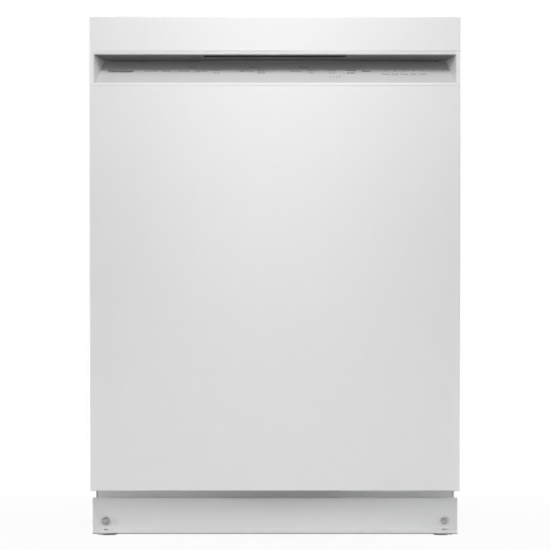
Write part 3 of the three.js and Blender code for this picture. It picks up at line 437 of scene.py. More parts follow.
def bumpFrom(tree, shader, height, strength, distance, before=None):
    node = addNode(tree, "ShaderNodeBump", {"Strength": strength, "Distance": distance})
    wire(tree, height, node.inputs["Height"])
    if before is not None:
        wire(tree, before, node.inputs["Normal"])
    wire(tree, node.outputs["Normal"], shader.inputs["Normal"])
    return node.outputs["Normal"]


def enamel(name, dark, light, roughLow, roughHigh, bump):
    made, tree, shader = newFinish(name, Coat_Weight=0.25, Coat_Roughness=0.18)
    peel = useGroup(tree, "peel", {"Scale": 420, "Long Wave": 38})
    dust = useGroup(tree, "dust", {"Amount": 0.25})
    wire(tree, blendColour(tree, peel.outputs["Mottle"], dark, light), shader.inputs["Base Color"])
    rough = ranged(tree, peel.outputs["Mottle"], roughLow, roughHigh)
    wire(tree, addMath(tree, "ADD", rough, dust.outputs["Mask"]), shader.inputs["Roughness"])
    bumpFrom(tree, shader, peel.outputs["Height"], bump, 0.00005)
    return made


def plastic(name, dark, light, roughLow, roughHigh, bump, grain=1400):
    made, tree, shader = newFinish(name)
    texture = useGroup(tree, "grain", {"Scale": grain})
    wire(tree, blendColour(tree, texture.outputs["Shade"], dark, light), shader.inputs["Base Color"])
    wire(tree, ranged(tree, texture.outputs["Shade"], roughLow, roughHigh), shader.inputs["Roughness"])
    bumpFrom(tree, shader, texture.outputs["Height"], bump, 0.00008)
    return made


# Enamelled sheet with painted shade along its lower edge, up to a height in millimetres: a dark band coloured
# in for the shadow line at the panel's foot.
def footShadeEnamel(name, dark, light, paintedFootShade, height):
    made, tree, shader = newFinish(name, Roughness=0.34, Coat_Weight=0.25, Coat_Roughness=0.18)
    peel = useGroup(tree, "peel", {"Scale": 420, "Long Wave": 38})
    place = addNode(tree, "ShaderNodeTexCoord")
    parts = addNode(tree, "ShaderNodeSeparateXYZ")
    wire(tree, place.outputs["Object"], parts.inputs[0])
    reach = ((height - 0.3) * mm, (height + 0.3) * mm)
    # painted shade mask: one below the height, falling to nought just above it
    edge = ranged(tree, parts.outputs["Z"], 1.0, 0.0, reach)
    white = blendColour(tree, peel.outputs["Mottle"], dark, light)
    wire(tree, laidOver(tree, white, paintedFootShade, edge), shader.inputs["Base Color"])
    bumpFrom(tree, shader, peel.outputs["Height"], 0.10, 0.00005)
    return made


# White outside, with painted shade on the faces that look down into the pocket: they are coloured grey for
# the shade that falls on them.
def pocketPlastic(name, dark, light, paintedCeilingShade):
    made, tree, shader = newFinish(name, Roughness=0.34)
    texture = useGroup(tree, "grain", {"Scale": 900})
    white = blendColour(tree, texture.outputs["Shade"], dark, light)
    place = addNode(tree, "ShaderNodeTexCoord")
    facing = addNode(tree, "ShaderNodeSeparateXYZ")
    wire(tree, place.outputs["Normal"], facing.inputs[0])
    # painted shade mask: one on faces whose normal points down
    down = ranged(tree, facing.outputs["Z"], 0.0, 1.0, (-0.80, -0.96))
    wire(tree, laidOver(tree, white, paintedCeilingShade, down), shader.inputs["Base Color"])
    bumpFrom(tree, shader, texture.outputs["Height"], 0.05, 0.00008)
    return made


def brushedMetal(name, dark, light, roughLow, roughHigh, stretch, bump=0.12):
    made, tree, shader = newFinish(name, Metallic=1.0)
    lines = useGroup(tree, "brushed", {"Stretch": stretch})
    wire(tree, blendColour(tree, lines.outputs["Streak"], dark, light), shader.inputs["Base Color"])
    rough = ranged(tree, lines.outputs["Cloud"], roughLow, roughHigh)
    streaked = ranged(tree, lines.outputs["Streak"], -0.05, 0.05)
    wire(tree, addMath(tree, "ADD", rough, streaked), shader.inputs["Roughness"])
    bumpFrom(tree, shader, lines.outputs["Height"], bump, 0.00003)
    return made


def zincSheet(name, dark, light):
    made, tree, shader = newFinish(name, Metallic=0.9)
    flakes = useGroup(tree, "spangle")
    dust = useGroup(tree, "dust", {"Scale": 22, "Amount": 0.5})
    wire(tree, blendColour(tree, flakes.outputs["Shade"], dark, light), shader.inputs["Base Color"])
    rough = ranged(tree, flakes.outputs["Shade"], 0.34, 0.5)
    wire(tree, addMath(tree, "ADD", rough, dust.outputs["Mask"]), shader.inputs["Roughness"])
    bumpFrom(tree, shader, flakes.outputs["Height"], 0.08, 0.00005)
    return made


def felt(name, dark, light, fleck):
    made, tree, shader = newFinish(name, Roughness=0.95, Sheen_Weight=0.25)
    fibre = useGroup(tree, "fibre")
    body = blendColour(tree, fibre.outputs["Shade"], dark, light)
    wire(tree, laidOver(tree, body, fleck, fibre.outputs["Fleck"]), shader.inputs["Base Color"])
    bumpFrom(tree, shader, fibre.outputs["Height"], 0.55, 0.0006)
    return made


def filterMesh(name, metal, hole, pitch, radius):
    made, tree, shader = newFinish(name)
    dots = useGroup(tree, "holes", {"Pitch": pitch, "Radius": radius})
    wire(tree, blendColour(tree, dots.outputs["Hole"], metal, hole), shader.inputs["Base Color"])
    wire(tree, ranged(tree, dots.outputs["Hole"], 1.0, 0.0), shader.inputs["Metallic"])
    wire(tree, ranged(tree, dots.outputs["Hole"], 0.32, 0.8), shader.inputs["Roughness"])
    bumpFrom(tree, shader, addMath(tree, "SUBTRACT", 1.0, dots.outputs["Hole"]), 0.8, 0.0004)
    return made


finishTable = [
    # name, maker, darker colour, lighter colour, then what that maker takes
    ("whiteEnamel", enamel, (0.845, 0.845, 0.845), (0.86, 0.86, 0.86), 0.30, 0.37, 0.10),
    # the toe panel's dark band at its foot is painted shade, 6.3 mm high
    ("toeEnamel", footShadeEnamel, (0.845, 0.845, 0.845), (0.86, 0.86, 0.86), (0.30, 0.30, 0.30), 6.3),
    # the pocket's third colour is painted shade for its downward faces
    ("pocketWhite", pocketPlastic, (0.83, 0.83, 0.83), (0.87, 0.87, 0.87), (0.24, 0.24, 0.24)),
    ("ink", plastic, (0.040, 0.040, 0.043), (0.055, 0.055, 0.058), 0.5, 0.6, 0.02, 3000),
    ("boldInk", plastic, (0.012, 0.012, 0.013), (0.018, 0.018, 0.019), 0.4, 0.5, 0.02, 3000),
    ("lampLens", plastic, (0.20, 0.21, 0.21), (0.25, 0.26, 0.26), 0.18, 0.25, 0.03, 2600),
    ("silverFilm", plastic, (0.53, 0.53, 0.53), (0.58, 0.58, 0.58), 0.36, 0.44, 0.05, 2400),
    ("greyPlastic", plastic, (0.30, 0.31, 0.32), (0.36, 0.37, 0.38), 0.42, 0.56, 0.18),
    ("paleGreyPlastic", plastic, (0.50, 0.51, 0.52), (0.57, 0.58, 0.59), 0.40, 0.52, 0.16),
    ("darkPlastic", plastic, (0.018, 0.018, 0.020), (0.032, 0.032, 0.034), 0.45, 0.62, 0.22),
    ("rubber", plastic, (0.010, 0.010, 0.010), (0.022, 0.022, 0.022), 0.62, 0.8, 0.25, 1800),
    ("hoseGrey", plastic, (0.10, 0.105, 0.11), (0.15, 0.155, 0.16), 0.5, 0.66, 0.15),
    ("coatedWire", plastic, (0.27, 0.285, 0.30), (0.33, 0.345, 0.36), 0.26, 0.38, 0.08, 900),
    ("stainless", brushedMetal, (0.56, 0.57, 0.58), (0.70, 0.71, 0.72), 0.20, 0.30, (0.02, 1, 1)),
    ("stainlessUpright", brushedMetal, (0.56, 0.57, 0.58), (0.70, 0.71, 0.72), 0.20, 0.30, (1, 1, 0.02)),
    ("springSteel", brushedMetal, (0.22, 0.22, 0.23), (0.34, 0.34, 0.35), 0.28, 0.42, (1, 0.3, 1)),
    ("zincSheet", zincSheet, (0.40, 0.42, 0.44), (0.62, 0.64, 0.66)),
    ("screwSteel", brushedMetal, (0.42, 0.42, 0.43), (0.58, 0.58, 0.60), 0.26, 0.38, (1, 1, 1)),
    ("foilTape", brushedMetal, (0.62, 0.62, 0.62), (0.80, 0.80, 0.80), 0.22, 0.42, (0.2, 0.2, 0.2), 0.5),
    ("felt", felt, (0.40, 0.39, 0.37), (0.56, 0.55, 0.52), (0.16, 0.17, 0.20)),
    ("filterMesh", filterMesh, (0.60, 0.61, 0.62), (0.03, 0.03, 0.03), 0.004, 0.30),
]
finishes = {name: make(name, *values) for name, make, *values in finishTable}
print("finishes ready")

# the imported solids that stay



def leftAndRight(*names):
    return [name + side for name in names for side in ("_left", "_right")]


cadFinish = {
    "whiteEnamel": ["door_skin", "top_band", "access_panel"],
    "toeEnamel": ["toe_panel"],
    "pocketWhite": ["pocket_moulding"],
    "silverFilm": ["control_fascia"],
    "stainless": ["tub_wrapper", "tub_back", "tub_floor", *leftAndRight("rack_rail")],
    "stainlessUpright": ["door_liner"],
    "filterMesh": ["coarse_filter"],
    "zincSheet": [
        "front_frame",
        "front_crossmember",
        "rear_crossmember",
        "junction_box",
        "strike_plate",
        *leftAndRight("side_rail", "worktop_bracket", "foot_front", "foot_rear", "hinge_arm"),
    ],
    "screwSteel": leftAndRight("toe_screw"),
    "paleGreyPlastic": ["dispenser", "dispenser_lid", "rinse_cap", "silverware_basket"],
    "greyPlastic": [
        "filter_cup",
        "float_dome",
        "feed_tube",
        "inlet_valve",
        "latch_plunger",
        "lower_spray_arm",
        "upper_spray_arm",
    ],
    "darkPlastic": ["sump_housing", "wash_motor", "drain_pump", "control_board", "latch_housing"],
    "rubber": ["door_gasket", "door_bottom_seal"],
    "felt": ["sound_blanket", "door_insulation"],
    "coatedWire": ["lower_rack", "folding_tines", "upper_rack", *leftAndRight("cup_shelf")],
    "hoseGrey": ["fill_hose", "drain_hose"],
    "springSteel": ["heating_element", *leftAndRight("door_spring")],
}
edgeRadius = {  # millimetres, where it isn't the usual one
    "usual": 0.35,
    "door_skin": 0.9,
    "top_band": 0.9,
    "toe_panel": 0.45,
    "pocket_moulding": 0.5,
    "control_fascia": 0.4,
    "tub_floor": 1.4,
    "door_liner": 1.4,
}


def dressSolid(name, finishName):
    solid = nodes[name]
    solid.data.materials.clear()
    solid.data.materials.append(finishes[finishName])
    weld = solid.modifiers.new("weld", "WELD")
    weld.merge_threshold = 0.00001
    bevel = solid.modifiers.new("softEdges", "BEVEL")
    bevel.width = edgeRadius.get(name, edgeRadius["usual"]) * mm
    bevel.segments = 2
    bevel.limit_method = "ANGLE"
    bevel.angle_limit = math.radians(35)
    bevel.harden_normals = True
    flat = solid.modifiers.new("flatFaces", "WEIGHTED_NORMAL")
    flat.weight = 80
    for face in solid.data.polygons:
        face.use_smooth = True


for finishName, names in cadFinish.items():
    for nodeName in names:
        dressSolid(nodeName, finishName)
print("solids dressed")

# mesh tools


def millimetres(*values):
    return Vector([v * mm for v in values])


def outlineInMm(outline):
    return [(along * mm, radius * mm) for along, radius in outline]


def skinRings(mesh, rings, closed=False):
    for k in range(len(rings) if closed else len(rings) - 1):
        here, there = rings[k], rings[(k + 1) % len(rings)]
        n = len(here)
        for j in range(n):
            mesh.faces.new((here[j], here[(j + 1) % n], there[(j + 1) % n], there[j]))
    if not closed:
        mesh.faces.new(list(reversed(rings[0])))
        mesh.faces.new(rings[-1])


# A round bar along points. The radius may be a list, one for each point.
def addTube(mesh, points, radius, sides=8, closed=False):
    points = [Vector(p) for p in points]
    count = len(points)
    side = None
    rings = []
    for k, here in enumerate(points):
        before = points[k - 1] if k or closed else here
        after = points[(k + 1) % count] if k < count - 1 or closed else here
        along = (after - before).normalized()
        if side is None:
            side = along.cross((0, 0, 1)) if abs(along.z) < 0.9 else along.cross((0, 1, 0))
        side = (side - along * side.dot(along)).normalized()
        other = along.cross(side)
        size = radius[k] if isinstance(radius, (list, tuple)) else radius
        ring = []
        for j in range(sides):
            turn = math.tau * j / sides
            ring.append(mesh.verts.new(here + (side * math.cos(turn) + other * math.sin(turn)) * size))
        rings.append(ring)
    skinRings(mesh, rings, closed)


# A turned form about an axis. The outline is (along, radius) pairs.
def addTurned(mesh, origin, axis, outline, sides=24, turn=0.0, ring=False):
    axis = Vector(axis).normalized()
    side = axis.orthogonal().normalized()
    other = axis.cross(side)
    rings = []
    for along, radius in outline:
        loop = []
        for j in range(sides):
            a = turn + math.tau * j / sides
            spoke = side * math.cos(a) + other * math.sin(a)
            loop.append(mesh.verts.new(Vector(origin) + axis * along + spoke * radius))
        rings.append(loop)
    skinRings(mesh, rings, ring)


# A block with softened edges, low and high corners in metres.
def addBlock(mesh, low, high, soft=0.0, steps=2):
    corners = [(x, y, z) for x in (low[0], high[0]) for y in (low[1], high[1]) for z in (low[2], high[2])]
    v = [mesh.verts.new(c) for c in corners]
    faces = [(0, 1, 3, 2), (4, 6, 7, 5), (0, 4, 5, 1), (2, 3, 7, 6), (0, 2, 6, 4), (1, 5, 7, 3)]
    made = [mesh.faces.new([v[i] for i in face]) for face in faces]
    if soft > 0:
        edges = list({e for f in made for e in f.edges})
        bmesh.ops.bevel(mesh, geom=edges, offset=soft, segments=steps, profile=0.5, affect="EDGES")


# Corners of a path turned into arcs.
def roundedPath(points, radius, steps=5, closed=False):
    points = [Vector(p) for p in points]
    count = len(points)
    path = []
    for k, here in enumerate(points):
        if not closed and k in (0, count - 1):
            path.append(here)
            continue
        toBefore = points[k - 1] - here
        toAfter = points[(k + 1) % count] - here
        angle = toBefore.angle(toAfter)
        if angle > math.pi - 0.02:
            path.append(here)
            continue
        back = min(radius / math.tan(angle / 2), toBefore.length * 0.48, toAfter.length * 0.48)
        start = here + toBefore.normalized() * back
        end = here + toAfter.normalized() * back
        bend = back * math.tan(angle / 2)
        middle = (toBefore.normalized() + toAfter.normalized()).normalized()
        centre = here + middle * (bend / math.sin(angle / 2))
        a, b = start - centre, end - centre
        sweep = a.angle(b)
        for j in range(steps + 1):
            t = j / steps
            path.append(centre + (a * math.sin((1 - t) * sweep) + b * math.sin(t * sweep)) / math.sin(sweep))
    return path


# A smooth curve through points that doesn't swing wide between near and far ones.
def flowingPath(points, steps=8):
    points = [Vector(p) for p in points]
    ends = [points[0] * 2 - points[1], *points, points[-1] * 2 - points[-2]]
    path = []
    for k in range(1, len(ends) - 2):
        p0, p1, p2, p3 = ends[k - 1 : k + 3]
        t0 = 0.0
        t1 = t0 + (p1 - p0).length ** 0.5
        t2 = t1 + (p2 - p1).length ** 0.5
        t3 = t2 + (p3 - p2).length ** 0.5
        for j in range(steps):
            t = t1 + (t2 - t1) * j / steps
            a1 = p0 * ((t1 - t) / (t1 - t0)) + p1 * ((t - t0) / (t1 - t0))
            a2 = p1 * ((t2 - t) / (t2 - t1)) + p2 * ((t - t1) / (t2 - t1))
            a3 = p2 * ((t3 - t) / (t3 - t2)) + p3 * ((t - t2) / (t3 - t2))
            b1 = a1 * ((t2 - t) / (t2 - t0)) + a2 * ((t - t0) / (t2 - t0))
            b2 = a2 * ((t3 - t) / (t3 - t1)) + a3 * ((t - t1) / (t3 - t1))
            path.append(b1 * ((t2 - t) / (t2 - t1)) + b2 * ((t - t1) / (t2 - t1)))
    path.append(points[-1])
    return path


# The same path in steps of one length.
def evenPath(path, step):
    lengths = [0.0]
    for a, b in zip(path, path[1:]):
        lengths.append(lengths[-1] + (b - a).length)
    count = max(2, round(lengths[-1] / step))
    even, k = [], 0
    for j in range(count + 1):
        want = lengths[-1] * j / count
        while k < len(path) - 2 and lengths[k + 1] < want:
            k += 1
        share = (want - lengths[k]) / max(lengths[k + 1] - lengths[k], 1e-9)
        even.append(path[k].lerp(path[k + 1], min(max(share, 0), 1)))
    return even


# A soft sheet with two faces. put(u, v, h) gives the place of a point h above the inner face.
def addPad(mesh, us, vs, put, height):
    outer = [[mesh.verts.new(put(u, v, height(u, v))) for v in vs] for u in us]
    inner = [[mesh.verts.new(put(u, v, 0.0)) for v in vs] for u in us]
    nu, nv = len(us), len(vs)
    for i in range(nu - 1):
        for j in range(nv - 1):
            mesh.faces.new((outer[i][j], outer[i + 1][j], outer[i + 1][j + 1], outer[i][j + 1]))
            mesh.faces.new((inner[i][j], inner[i][j + 1], inner[i + 1][j + 1], inner[i + 1][j]))
    for i in range(nu - 1):
        mesh.faces.new((outer[i][0], inner[i][0], inner[i + 1][0], outer[i + 1][0]))
        mesh.faces.new((outer[i][-1], outer[i + 1][-1], inner[i + 1][-1], inner[i][-1]))
    for j in range(nv - 1):
        mesh.faces.new((outer[0][j], outer[0][j + 1], inner[0][j + 1], inner[0][j]))
        mesh.faces.new((outer[-1][j], inner[-1][j], inner[-1][j + 1], outer[-1][j + 1]))


# Even steps, with closer ones at the seams.
def stepsWithSeams(low, high, step, seams, near=(1.2, 3.0, 6.0)):
    count = round((high - low) / step)
    values = [low + (high - low) * k / count for k in range(count + 1)]
    for seam in seams:
        values = [v for v in values if abs(v - seam) > near[-1] + step * 0.4 or v in (low, high)]
        values += [seam] + [seam + d for d in near] + [seam - d for d in near]
    return sorted(v for v in values if low <= v <= high)


def makePiece(mesh, name, finish, body, replaced=(), sharp=38):
    bmesh.ops.recalc_face_normals(mesh, faces=mesh.faces)
    data = bpy.data.meshes.new(name)
    mesh.to_mesh(data)
    mesh.free()
    data.materials.append(finishes[finish])
    data.shade_smooth()
    data.set_sharp_from_angle(angle=math.radians(sharp))
    piece = bpy.data.objects.new(name, data)
    scene.collection.objects.link(piece)
    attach(piece, body)
    if replaced:
        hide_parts(*replaced)
    return piece


def boxOf(name):
    low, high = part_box(name)
    return Vector(low), Vector(high)


# lettering and lamps on the control panel

panelWords = {
    "textSize": 3.3,
    "tall": 1.45,  # letters stretched up the slope
    "markTall": 2.6,
    "lift": 0.05,
    "thick": 0.03,
    "words": [
        # text, across, down the panel (0 top, 1 foot), width, ink
        ("Dishwasher", -253.2, 0.46, 42.0, "boldInk"),
        ("Auto Wash", -204.1, 0.46, 22.0, "ink"),
        ("Heavy", -178.8, 0.46, 13.5, "ink"),
        ("Cycles", -135.4, 0.26, 13.5, "ink"),
        ("Normal", -149.3, 0.46, 16.5, "ink"),
        ("Light Soil", -121.5, 0.46, 20.5, "ink"),
        ("Rinse", -96.2, 0.42, 12.5, "ink"),
        ("Only", -96.2, 0.54, 10.5, "ink"),
        ("Options", -35.0, 0.26, 16.0, "ink"),
        ("High Temp", -47.1, 0.46, 21.0, "ink"),
        ("Sani", -22.6, 0.42, 10.5, "ink"),
        ("Rinse", -22.6, 0.54, 12.5, "ink"),
        ("Drying", 47.0, 0.26, 14.0, "ink"),
        ("Heat Dry", 33.9, 0.46, 18.0, "ink"),
        ("Extra", 60.0, 0.42, 12.0, "ink"),
        ("Dry", 60.0, 0.54, 8.0, "ink"),
        ("Delay", 92.7, 0.42, 12.5, "ink"),
        ("Hours", 92.7, 0.54, 12.5, "ink"),
        ("2  4  6  8", 98.5, 0.72, 18.0, "ink"),
        ("Cancel", 124.6, 0.42, 16.3, "boldInk"),
        ("Drain", 124.6, 0.54, 13.0, "boldInk"),
        ("Start", 150.0, 0.46, 14.5, "boldInk"),
        ("Washing", 181.9, 0.60, 13.0, "ink"),
        ("Drying", 196.9, 0.60, 10.5, "ink"),
        ("Rinsing", 212.2, 0.60, 11.5, "ink"),
        ("Clean", 227.5, 0.60, 9.5, "ink"),
        ("Locked", 242.4, 0.60, 11.0, "ink"),
    ],
    "lamps": [181.9, 196.9, 212.2, 227.5, 242.4],
    "lampDown": 0.44,
    "lampRadius": 1.25,
}


# The panel's own slope: its upper edge, the way down it and the way out of it.
def panelPlane(name):
    data = nodes[name].data
    front = max(
        (f for f in data.polygons if f.normal.y < -0.3 and f.normal.z > 0.3),
        key=lambda f: f.area,
    )
    out = front.normal.copy()
    down = Vector((1, 0, 0)).cross(out).normalized()
    if down.z > 0:
        down.negate()
    corners = [data.vertices[i].co for i in front.vertices]
    top = min(corners, key=lambda c: c.dot(down))
    foot = max(corners, key=lambda c: c.dot(down))
    return Vector((0, top.y, top.z)), down, out, (foot - top).dot(down)


def makeLettering(w):
    top, down, out, length = panelPlane("control_fascia")
    for ink in ("ink", "boldInk"):
        mesh = bmesh.new()
        for text, across, share, width, wanted in w["words"]:
            if wanted != ink:
                continue
            font = bpy.data.curves.new("word", "FONT")
            font.body = text
            font.align_x = "CENTER"
            font.align_y = "CENTER"
            font.extrude = w["thick"] * mm
            font.size = w["textSize"] * mm
            font.resolution_u = 2
            if ink == "boldInk":
                font.offset = 0.09 * mm
            word = bpy.data.objects.new("word", font)
            scene.collection.objects.link(word)
            bpy.context.view_layer.update()
            flat = bpy.data.meshes.new_from_object(word)
            xs = [v.co.x for v in flat.vertices]
            wide = width * mm / (max(xs) - min(xs))
            tall = w["markTall"] if text == "Dishwasher" else w["tall"]
            place = top + down * (share * length) + out * (w["lift"] * mm) + Vector((across * mm, 0, 0))
            turn = Matrix((Vector((1, 0, 0)), -down, out)).transposed().to_4x4()
            flat.transform(Matrix.Translation(place) @ turn @ Matrix.Diagonal((wide, tall, 1, 1)))
            mesh.from_mesh(flat)
            bpy.data.objects.remove(word)
            bpy.data.curves.remove(font)
            bpy.data.meshes.remove(flat)
        makePiece(mesh, "panel_lettering_" + ink, ink, "door", sharp=30)


def makeLamps(w):
    top, down, out, length = panelPlane("control_fascia")
    mesh = bmesh.new()
    size = w["lampRadius"] * mm
    for across in w["lamps"]:
        place = top + down * (w["lampDown"] * length) + Vector((across * mm, 0, 0))
        outline = [(-0.3 * mm, size), (0.1 * mm, size), (0.25 * mm, size * 0.8), (0.32 * mm, size * 0.35)]
        addTurned(mesh, place, out, outline, 20)
    makePiece(mesh, "indicator_lamps", "lampLens", "door")


makeLettering(panelWords)
makeLamps(panelWords)
print("control panel lettered")

# steam vent behind the slot in the pocket's ceiling

vent = {
    "half": 116.8,
    "front": 5.2,
    "deep": 12.6,
    "height": 21,
    "rise": -19.6,
    "skirt": 2.9,  # how much lower the rear wall reaches than the front one
    "wall": 0.9,
    "pitch": 6.6,
}


def makeVent(v):
    low, high = boxOf("pocket_moulding")
    y0, y1 = low.y + v["front"] * mm, low.y + (v["front"] + v["deep"]) * mm
    z0 = high.z + v["rise"] * mm
    z1 = z0 + v["height"] * mm
    x, t = v["half"] * mm, v["wall"] * mm
    mesh = bmesh.new()
    addBlock(mesh, (-x, y0, z0), (x, y0 + t, z1), 0.2 * mm)
    addBlock(mesh, (-x, y1 - t, z0 - v["skirt"] * mm), (x, y1, z1), 0.2 * mm)
    addBlock(mesh, (-x, y0 + t, z1 - t), (x, y1 - t, z1), 0.2 * mm)
    for sign in (-1, 1):
        near, far = sorted((sign * x, sign * (x - t)))
        addBlock(mesh, (near, y0 + t, z0 - v["skirt"] * mm / 2), (far, y1 - t, z1 - t), 0.2 * mm)
    fins = int(2 * v["half"] / v["pitch"])
    for k in range(1, fins):
        middle = -x + 2 * x * k / fins
        addBlock(mesh, (middle - t / 2, y0 + t, z0 + 4 * mm), (middle + t / 2, y1 - t, z1 - t), 0.15 * mm, 1)
    makePiece(mesh, "vent_duct", "darkPlastic", "door")


makeVent(vent)

# toe panel screws

toeScrew = {"washer": 5.4, "hexagon": 4.1, "headTall": 3.4, "shank": 2.15, "thread": 0.35, "pitch": 1.3}


def makeToeScrew(t, side):
    name = "toe_screw_" + side
    low, high = boxOf(name)
    centre = (low + high) / 2
    start = Vector((centre.x, low.y, centre.z))
    mesh = bmesh.new()
    tall, hexagon = t["headTall"] * mm, t["hexagon"] * mm
    head = [(0, hexagon * 0.86), (0.4 * mm, hexagon), (tall, hexagon)]
    addTurned(mesh, start, (0, 1, 0), head, 6, 0.4)
    washer = t["washer"] * mm
    flange = [(tall - 1.1 * mm, washer * 0.72), (tall - 0.35 * mm, washer), (tall, washer)]
    addTurned(mesh, start, (0, 1, 0), flange, 32)
    thread = []
    along = tall - 0.1 * mm
    end = high.y - low.y
    while along < end - 2.2 * mm:
        thread.append((along, (t["shank"] - t["thread"]) * mm))
        thread.append((along + t["pitch"] * mm * 0.5, t["shank"] * mm))
        along += t["pitch"] * mm
    thread.append((end, 0.3 * mm))
    addTurned(mesh, start, (0, 1, 0), thread, 12)
    makePiece(mesh, name + "_detail", "screwSteel", "cabinet", [name])


for side in ("left", "right"):
    makeToeScrew(toeScrew, side)
print("vent and screws made")

# sound blanket: felt in two sewn parts, held by tape

blanket = {
    "thick": 10.4,
    "edge": 4.2,  # thickness where it is bound
    "edgeWidth": 16,
    "seam": 3.4,  # how deep a stitched row sinks
    "seamWidth": 9,
    "rows": [-132, -22, 88, 198],
    "backRows": [-186, -62, 62, 186],
    "lumps": 0.9,
    "fuzz": 0.22,
    "innerHalf": 280.0,
    "corner": 24,
    "tapes": [90, 330, 560, 800, 1080, 1320, 1560, 1790],  # along the wrap's section
    "tapeWide": 46,
    "tapeThick": 0.22,
}


def feltHeight(b, distanceToEdge, distanceToSeam, place):
    full = b["thick"] - b["lumps"] - b["fuzz"]
    rise = min(max(distanceToEdge / b["edgeWidth"], 0), 1)
    h = b["edge"] + (full - b["edge"]) * math.sin(rise * math.pi / 2)
    h -= b["seam"] * math.exp(-((distanceToSeam / b["seamWidth"]) ** 2) * 2) * rise
    h += b["lumps"] * noise.noise(Vector(place) / 55) * rise
    h += b["fuzz"] * noise.noise(Vector(place) / 7)
    return max(h, 1.5)


# The wrap's section: up one side, over the top and down the other, as places and outward directions.
def wrapSection(b, foot, roof, step):
    w, c = b["innerHalf"], b["corner"]
    points = []
    rise = int((roof - c - foot) / step)
    for k in range(rise):
        points.append((-w, foot + (roof - c - foot) * k / rise, -1.0, 0.0))
    for k in range(7):
        a = math.pi / 2 * k / 6
        points.append((-w + c - c * math.cos(a), roof - c + c * math.sin(a), -math.cos(a), math.sin(a)))
    across = int((w - c) / step)
    for k in range(1, across + 1):
        points.append(((-w + c) + (w - c) * k / across, roof, 0.0, 1.0))
    return points + [(-x, z, -nx, nz) for x, z, nx, nz in reversed(points[:-1])]


def makeBlanket(b):
    low, high = boxOf("sound_blanket")
    y0, y1 = low.y / mm, high.y / mm - 10.6
    foot, roof = low.z / mm, high.z / mm - 11.0
    section = wrapSection(b, foot, roof, 11)
    length = [0.0]
    for one, two in zip(section, section[1:]):
        length.append(length[-1] + math.hypot(two[0] - one[0], two[1] - one[1]))

    def put(u, v, h):
        x, z, nx, nz = section[u]
        return millimetres(x + nx * h, v, z + nz * h)

    def height(u, v):
        edge = min(length[u], length[-1] - length[u], v - y0, y1 - v + 5)
        seam = min(abs(v - row) for row in b["rows"])
        x, z = section[u][:2]
        return feltHeight(b, edge, seam, (x, v, z))

    ys = stepsWithSeams(y0, y1, 10, b["rows"])
    mesh = bmesh.new()
    addPad(mesh, range(len(section)), ys, put, height)
    wrap = makePiece(mesh, "sound_blanket_wrap", "felt", "cabinet", ["sound_blanket"], 60)

    w, top, curve = b["innerHalf"] - 0.5, roof + 6, b["corner"] + 8

    def putBack(u, v, h):
        drop = max(0.0, v - (top - curve))
        half = w - curve + math.sqrt(max(curve**2 - drop**2, 1.0))
        return millimetres(u / w * half, y1 + 0.3 + h * 0.98, v)

    def heightBack(u, v):
        edge = min(w - abs(u), v - foot, top - v)
        seam = min(abs(u - row) for row in b["backRows"])
        return feltHeight(b, edge, seam, (u, 900, v))

    xs = stepsWithSeams(-w, w, 11, b["backRows"])
    zs = stepsWithSeams(foot, top, 11, [])
    mesh = bmesh.new()
    addPad(mesh, xs, zs, putBack, heightBack)
    back = makePiece(mesh, "sound_blanket_back", "felt", "cabinet", ["sound_blanket"], 60)

    # foil tape over the wrap's front edge
    def onWrap(u, v, h):
        return put(u, v, height(u, v) + 0.05 + h)

    mesh = bmesh.new()
    for middle in b["tapes"]:
        near = [u for u in range(len(section)) if abs(length[u] - middle) <= b["tapeWide"] / 2 + 3]
        strip = [y0 + 1.5 + 4 * k for k in range(19)]
        addPad(mesh, near, strip, onWrap, lambda u, v: b["tapeThick"])
    makePiece(mesh, "blanket_tape", "foilTape", "cabinet", (), 50)


makeBlanket(blanket)
print("sound blanket made")

# felt pad inside the door

doorPad = {
    "rows": [-138, 0, 138],
    "thick": 9.4,
    "edge": 4.0,
    "edgeWidth": 22,
    "seam": 3.0,
    "seamWidth": 9,
    "lumps": 0.7,
    "fuzz": 0.2,
}


def makeDoorPad(d):
    low, high = boxOf("door_insulation")
    x0, x1, z0, z1 = (v / mm for v in (low.x, high.x, low.z, high.z))

    def height(u, v):
        edge = min(u - x0, x1 - u, v - z0, z1 - v)
        return feltHeight(d, edge, min(abs(u - row) for row in d["rows"]), (u, 300, v))

    mesh = bmesh.new()
    us = stepsWithSeams(x0, x1, 13, d["rows"])
    vs = stepsWithSeams(z0, z1, 14, [])
    addPad(mesh, us, vs, lambda u, v, h: millimetres(u, high.y / mm - h, v), height)
    pad = makePiece(mesh, "door_pad", "felt", "door", ["door_insulation"], 60)


makeDoorPad(doorPad)

# levelling feet

levelFoot = {"pad": 17, "rod": 5, "pitch": 1.75, "depth": 0.55, "nut": 9.3}


